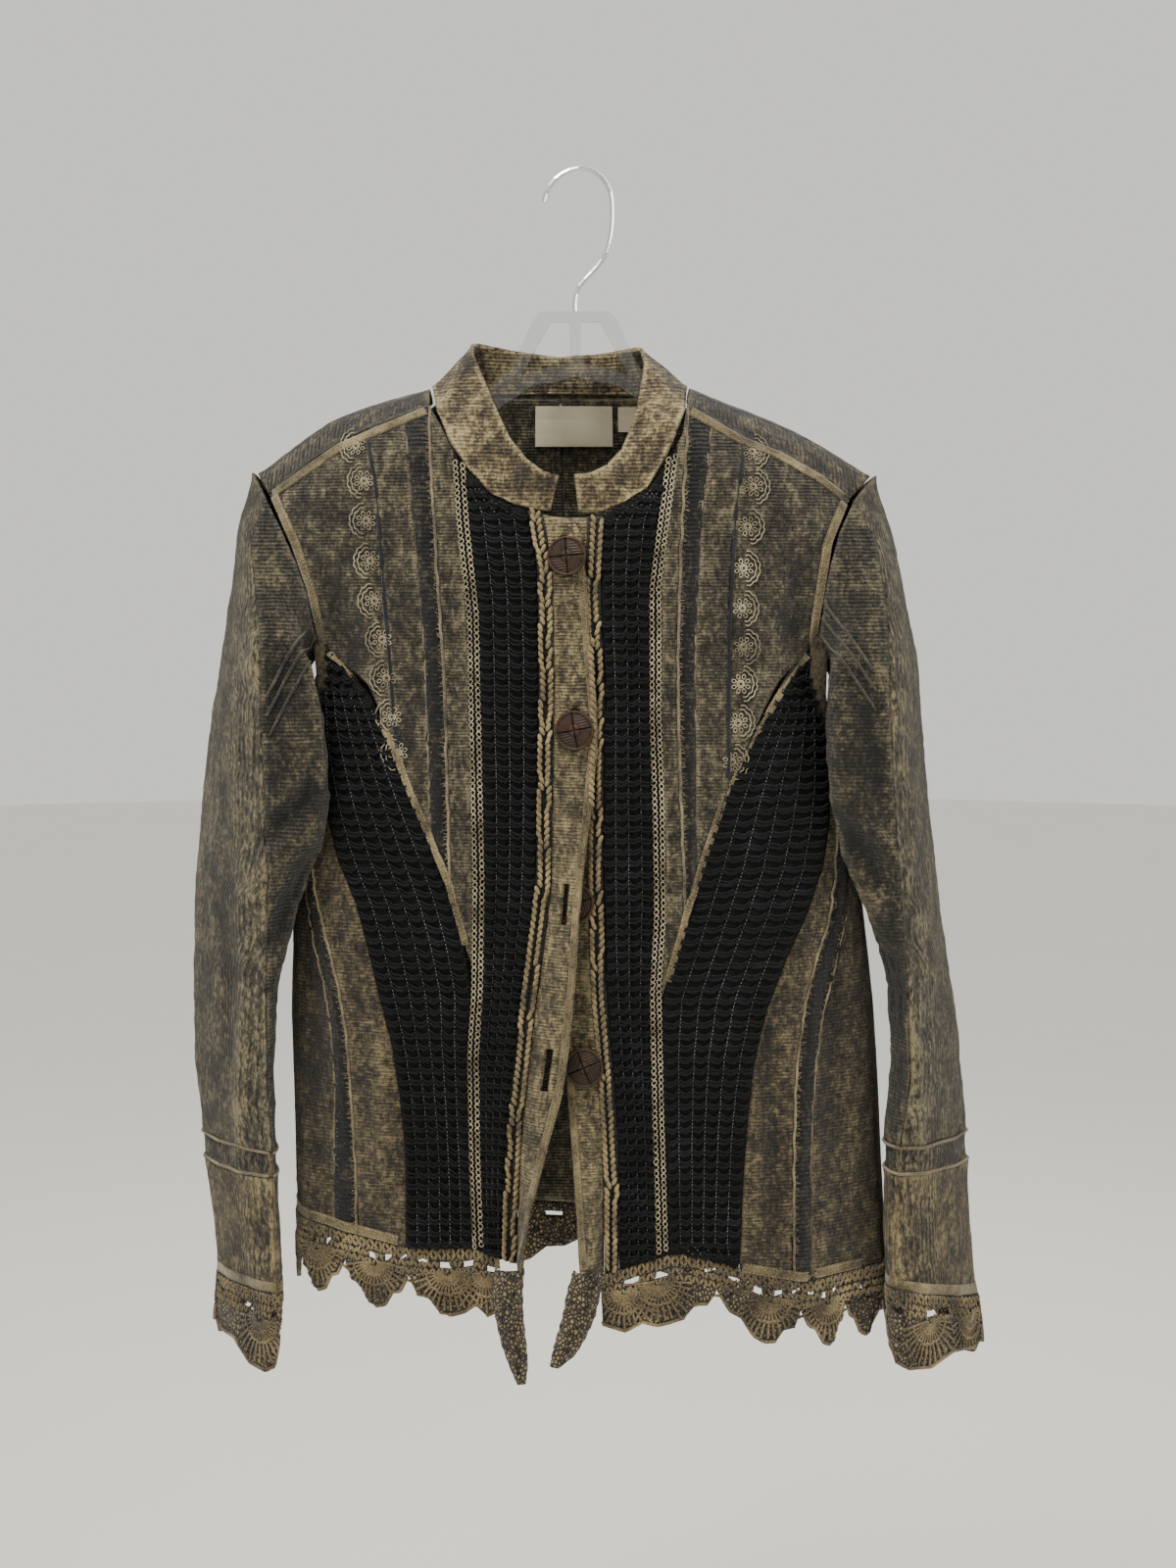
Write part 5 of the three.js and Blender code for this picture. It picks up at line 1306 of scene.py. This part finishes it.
for hand, rows in TAILS.items():
    shell = bmesh.new()
    bmesh.ops.create_grid(shell, x_segments=10, y_segments=TAIL_STEPS, size=0.5)
    keys = np.linspace(0, TAIL_STEPS, len(rows))
    *middle, half = (np.array(c, float) for c in zip(*rows))
    for v in shell.verts:
        row, share = (0.5 - v.co.y) * TAIL_STEPS, v.co.x * 2
        wide = np.interp(row, keys, half) * (1 + 0.05 * math.sin(row * 2.1))
        v.co = curled(keys, middle, row, share * CURL, wide)
    bmesh.ops.recalc_face_normals(shell, faces=shell.faces)
    bmesh.ops.solidify(shell, geom=shell.faces[:], thickness=1.4 * MM)
    mesh = bpy.data.meshes.new(f"lace_tail_{hand}")
    shell.to_mesh(mesh)
    laid(f"lace_tail_{hand}", mesh, LACE_GROUND)
    for k in range(14):
        path = []
        for t in range(-8, 9):
            row = min(k * 1.85 + 1.3 - abs(t) * 0.16, TAIL_STEPS)
            wide = np.interp(row, keys, half) + 0.6
            path.append(curled(keys, middle, row, t / 8 * CURL, wide, 0.6))
        tail_threads.append(path)
rope("lace_tail_threads", tail_threads, 0.8 * MM, LACE_THREAD)
print("tails:", len(TAILS))

# %% [markdown]
# The sleeves have small trims of their own: three slanted cords high on the sleeve,
# ropes along the raw edges of the band above the cuff, and a pale turned hem.

# %% Sleeve trims
SLANTED = {
    "left": [[(-181, -312), (-208, -366)], [(-178, -321), (-208, -378)], [(-176, -334), (-206, -392)]],
    "right": [[(167, -300), (199, -350)], [(165, -309), (200, -362)], [(164, -320), (200, -375)]],
}
RAW_CORD = thread("dull_cord", tone(24, 21, 17), tone(66, 59, 46), tone(128, 116, 90))
slanted, rings, hem_tapes = [], [], []
for hand, tracks in SLANTED.items():
    for track in tracks:
        slanted.append([point for point, _ in seated_track(SLEEVES[hand], track, 2.2 * MM, 0.8 * MM)])
    for part in (f"sleeve_band_{hand}", f"cuff_{hand}"):
        tree = tree_of(part)
        mesh = CLOTH[part].data
        points = np.array([v.co for v in mesh.vertices])
        edges = np.array([e.vertices[:] for e in mesh.edges])
        angles = angle_round(hand, points, 0)
        stations = np.linspace(-math.pi + 0.03, math.pi - 0.03, 90)
        bottom, top = slices(
            np.stack([points[:, 0], points[:, 1], angles], 1),
            edges[np.abs(angles[edges[:, 0]] - angles[edges[:, 1]]) < 1], points[:, 2], stations
        )
        for level, target in (
            (top - 1.0 * MM, rings), (bottom + 1.0 * MM, rings), (bottom + 4.5 * MM, hem_tapes)
        ):
            if part.startswith(
                "sleeve_band"
            ) and target is hem_tapes or part.startswith("cuff") and target is rings:
                continue
            ring = [seat_round(tree, hand, a, z, 0.7 * MM) for a, z in zip(stations, level)]
            ring = [r for r in ring if r]
            target.append(ring if target is hem_tapes else [p for p, _ in ring])
rope("sleeve_slanted_cords", slanted, 0.9 * MM, RAW_CORD)
rope("sleeve_band_edges", rings, 1.1 * MM, FRAY_THREAD)
tape("cuff_hems", hem_tapes, 7.0 * MM, 0.8 * MM, BAND_CLOTH)
UNDERARM = {
    "left": [(-176, -34, -318), (-174, -35, -340), (-172, -35, -365), (-173, -34, -390)],
    "right": [(166, -34, -318), (165, -35, -340), (164, -35, -365), (166, -34, -390)]
}
tape(
    "underarm_seams", [[(Vector(p) * MM, Vector((0, -1, 0))) for p in t] for t in UNDERARM.values()],
    12 * MM, 1.0 * MM, CRUMPLED_SHADED
)
print("sleeve trims laid")

# %% [markdown]
# ## Buttons
# Each button is a turned disc with a raised rim, carved with a cross and with rays
# that change direction from one quarter to the next. It is spun from its profile and
# then carved by moving the points of its face.

# %% Carved buttons
BUTTONS = 4
PROFILE = [(0.0, 0.1), (9, 0.1), (12.6, 0.9), (13.4, 2.0), (13.3, 2.9), (12.6, 3.6), (11.9, 3.7)]
PROFILE += [(11.2 - 0.56 * k, 3.1 + 1.35 * (k / 20) ** 0.9) for k in range(21)]


def carved(radius, turn):
    ray = abs(math.sin(turn * 2))
    cross = math.exp(-((ray * radius) / 0.9) ** 2)
    quarter = int((turn % (2 * math.pi)) / (math.pi / 2)) % 2
    line = radius * (math.cos(turn) if quarter else math.sin(turn))
    rays = 0.5 + 0.5 * math.cos(line * 3.4)
    ringed = math.exp(-((radius - 4.2) / 0.45) ** 2) + math.exp(-((radius - 11.4) / 0.5) ** 2)
    return -1.0 * cross - 0.6 * rays * (radius > 4.6) * (radius < 11) - 0.8 * ringed


for k in range(1, BUTTONS + 1):
    node = nodes[f"button_{k}"]
    cad = np.array([v.co for v in node.data.vertices])
    centre = cad.mean(0)
    _, _, axes = np.linalg.svd(np.unique(cad.round(6), axis=0) - centre)
    normal = Vector(axes[2] if axes[2][1] < 0 else -axes[2])
    foot = Vector(centre) - normal * 2.3 * MM
    disc = bmesh.new()
    line = [disc.verts.new((r * MM, 0, h * MM)) for r, h in PROFILE]
    for a, b in zip(line, line[1:]):
        disc.edges.new((a, b))
    bmesh.ops.spin(
        disc, geom=disc.verts[:] + disc.edges[:], cent=(0, 0, 0), axis=(0, 0, 1), angle=2 * math.pi,
        steps=120, use_merge=True
    )
    bmesh.ops.remove_doubles(disc, verts=disc.verts, dist=1e-6)
    bmesh.ops.recalc_face_normals(disc, faces=disc.faces)
    depths = []
    for v in disc.verts:
        radius, turn = math.hypot(v.co.x, v.co.y) / MM, math.atan2(v.co.y, v.co.x)
        depth = carved(radius, turn) if v.co.z > 2.9 * MM and radius < 12 else 0
        v.co.z += depth * MM
        depths.append(1 + depth)
    disc.transform(frame_at(foot, normal, Vector((0, 0, 1)), spin=0.1 * k))
    mesh = bpy.data.meshes.new(f"button_{k}_carved")
    disc.to_mesh(mesh)
    mesh.attributes.new("crest", "FLOAT", "POINT").data.foreach_set("value", depths)
    laid(f"carved_button_{k}", mesh, CARVED, replaced=(f"button_{k}",))
print("buttons carved:", BUTTONS)

# %% [markdown]
# ## Pieces that stay as the frame has them
# The hanger, its hook and the two bare labels have the right shape already, so their
# frame nodes stay, and only take a finish.

# %% Finishes on frame nodes
KEPT_NODES = {"hanger": PLASTIC, "hook": CHROME, "neck_label": LABEL_SATIN, "size_tag": LABEL_SATIN}
for name, finish in KEPT_NODES.items():
    mesh = nodes[name].data
    mesh.materials.clear()
    mesh.materials.append(finish)
print("frame nodes finished:", len(KEPT_NODES))

# %% [markdown]
# ## Cut sizes
# For each piece of cloth, the flat rectangle that it is cut from is worked out and printed.
# The cut is measured on the frame's smooth piece, before any crease is put in,
# and half the surface counts, because cloth has two faces. The length is how far the
# piece hangs, and the rectangle leaves a little over for curves. The two lace tails
# have no piece in the frame, so they are measured on themselves. The collar is a band
# bent into a ring, so its cut is given.

# %% Cloth cuts
LEAST_WIDTH = 10.5 * MM
WASTE = 1.12
COLLAR_BAND = (0.42, 0.046)


def cut_of(piece):
    """Width and length of the flat rectangle, and the cloth's own area."""
    area = sum(p.area for p in piece.data.polygons) / 2
    heights = np.array([v.co.z for v in piece.data.vertices])
    length = max(float(np.ptp(heights)), 2 * LEAST_WIDTH)
    width = max(area / length * WASTE, LEAST_WIDTH)
    return round(width, 4), round(length, 4), round(area, 5)


total = 0
for name, piece in CLOTH.items():
    width, length, area = cut_of(nodes[name])
    if name == "collar":
        width, length = COLLAR_BAND
    total += area
    print("cut", name, width, length, area)
for hand in ("left", "right"):
    piece = TRIMS[f"lace_tail_{hand}"]
    width, length, area = cut_of(piece)
    total += area
    print("cut", piece.name, width, length, area)
print("cloth in all, square metres:", round(total, 3))

# %% [markdown]
# ## Room and light
# A pale room lights the jacket from all round, and a panel overhead to the left gives
# the creases their shade. The floor lies well below, because the jacket hangs.

# %% Room and light
world = bpy.data.worlds.new("studio")
world.use_nodes = True
world.node_tree.nodes["Background"].inputs["Color"].default_value = tone(222, 221, 214)
world.node_tree.nodes["Background"].inputs["Strength"].default_value = 1.2
bpy.context.scene.world = world


def soft_light(name, place, aim, size, power):
    lamp = bpy.data.lights.new(name, "AREA")
    lamp.shape, lamp.size, lamp.energy = "DISK", size, power
    lamp.color = (1.0, 0.985, 0.96)
    held = bpy.data.objects.new(name, lamp)
    held.location = place
    held.rotation_euler = (Vector(aim) - Vector(place)).to_track_quat("-Z", "Y").to_euler()
    bpy.context.scene.collection.objects.link(held)


soft_light("ceiling_panel", (-0.7, -1.1, 1.5), (0, 0, -0.4), 0.8, 52)
soft_light("side_panel_light", (1.6, -1.2, 0.3), (0, 0, -0.45), 1.0, 12)
soft_light("back_panel_light", (0.4, 1.8, 0.9), (0, 0, -0.4), 1.2, 22)

floor = bmesh.new()
bmesh.ops.create_circle(floor, cap_ends=True, radius=9, segments=64)
floor_mesh = bpy.data.meshes.new("floor")
floor.to_mesh(floor_mesh)
floor_piece = bpy.data.objects.new("floor", floor_mesh)
floor_piece.location = (0, 0, -1.35)
paint = Finish("pale_floor")
paint.set(paint.mixed(paint.cloud(paint.place(), 3, 2), tone(232, 231, 225), tone(238, 237, 231)))
floor_mesh.materials.append(paint.material)
bpy.context.scene.collection.objects.link(floor_piece)
print("room ready")
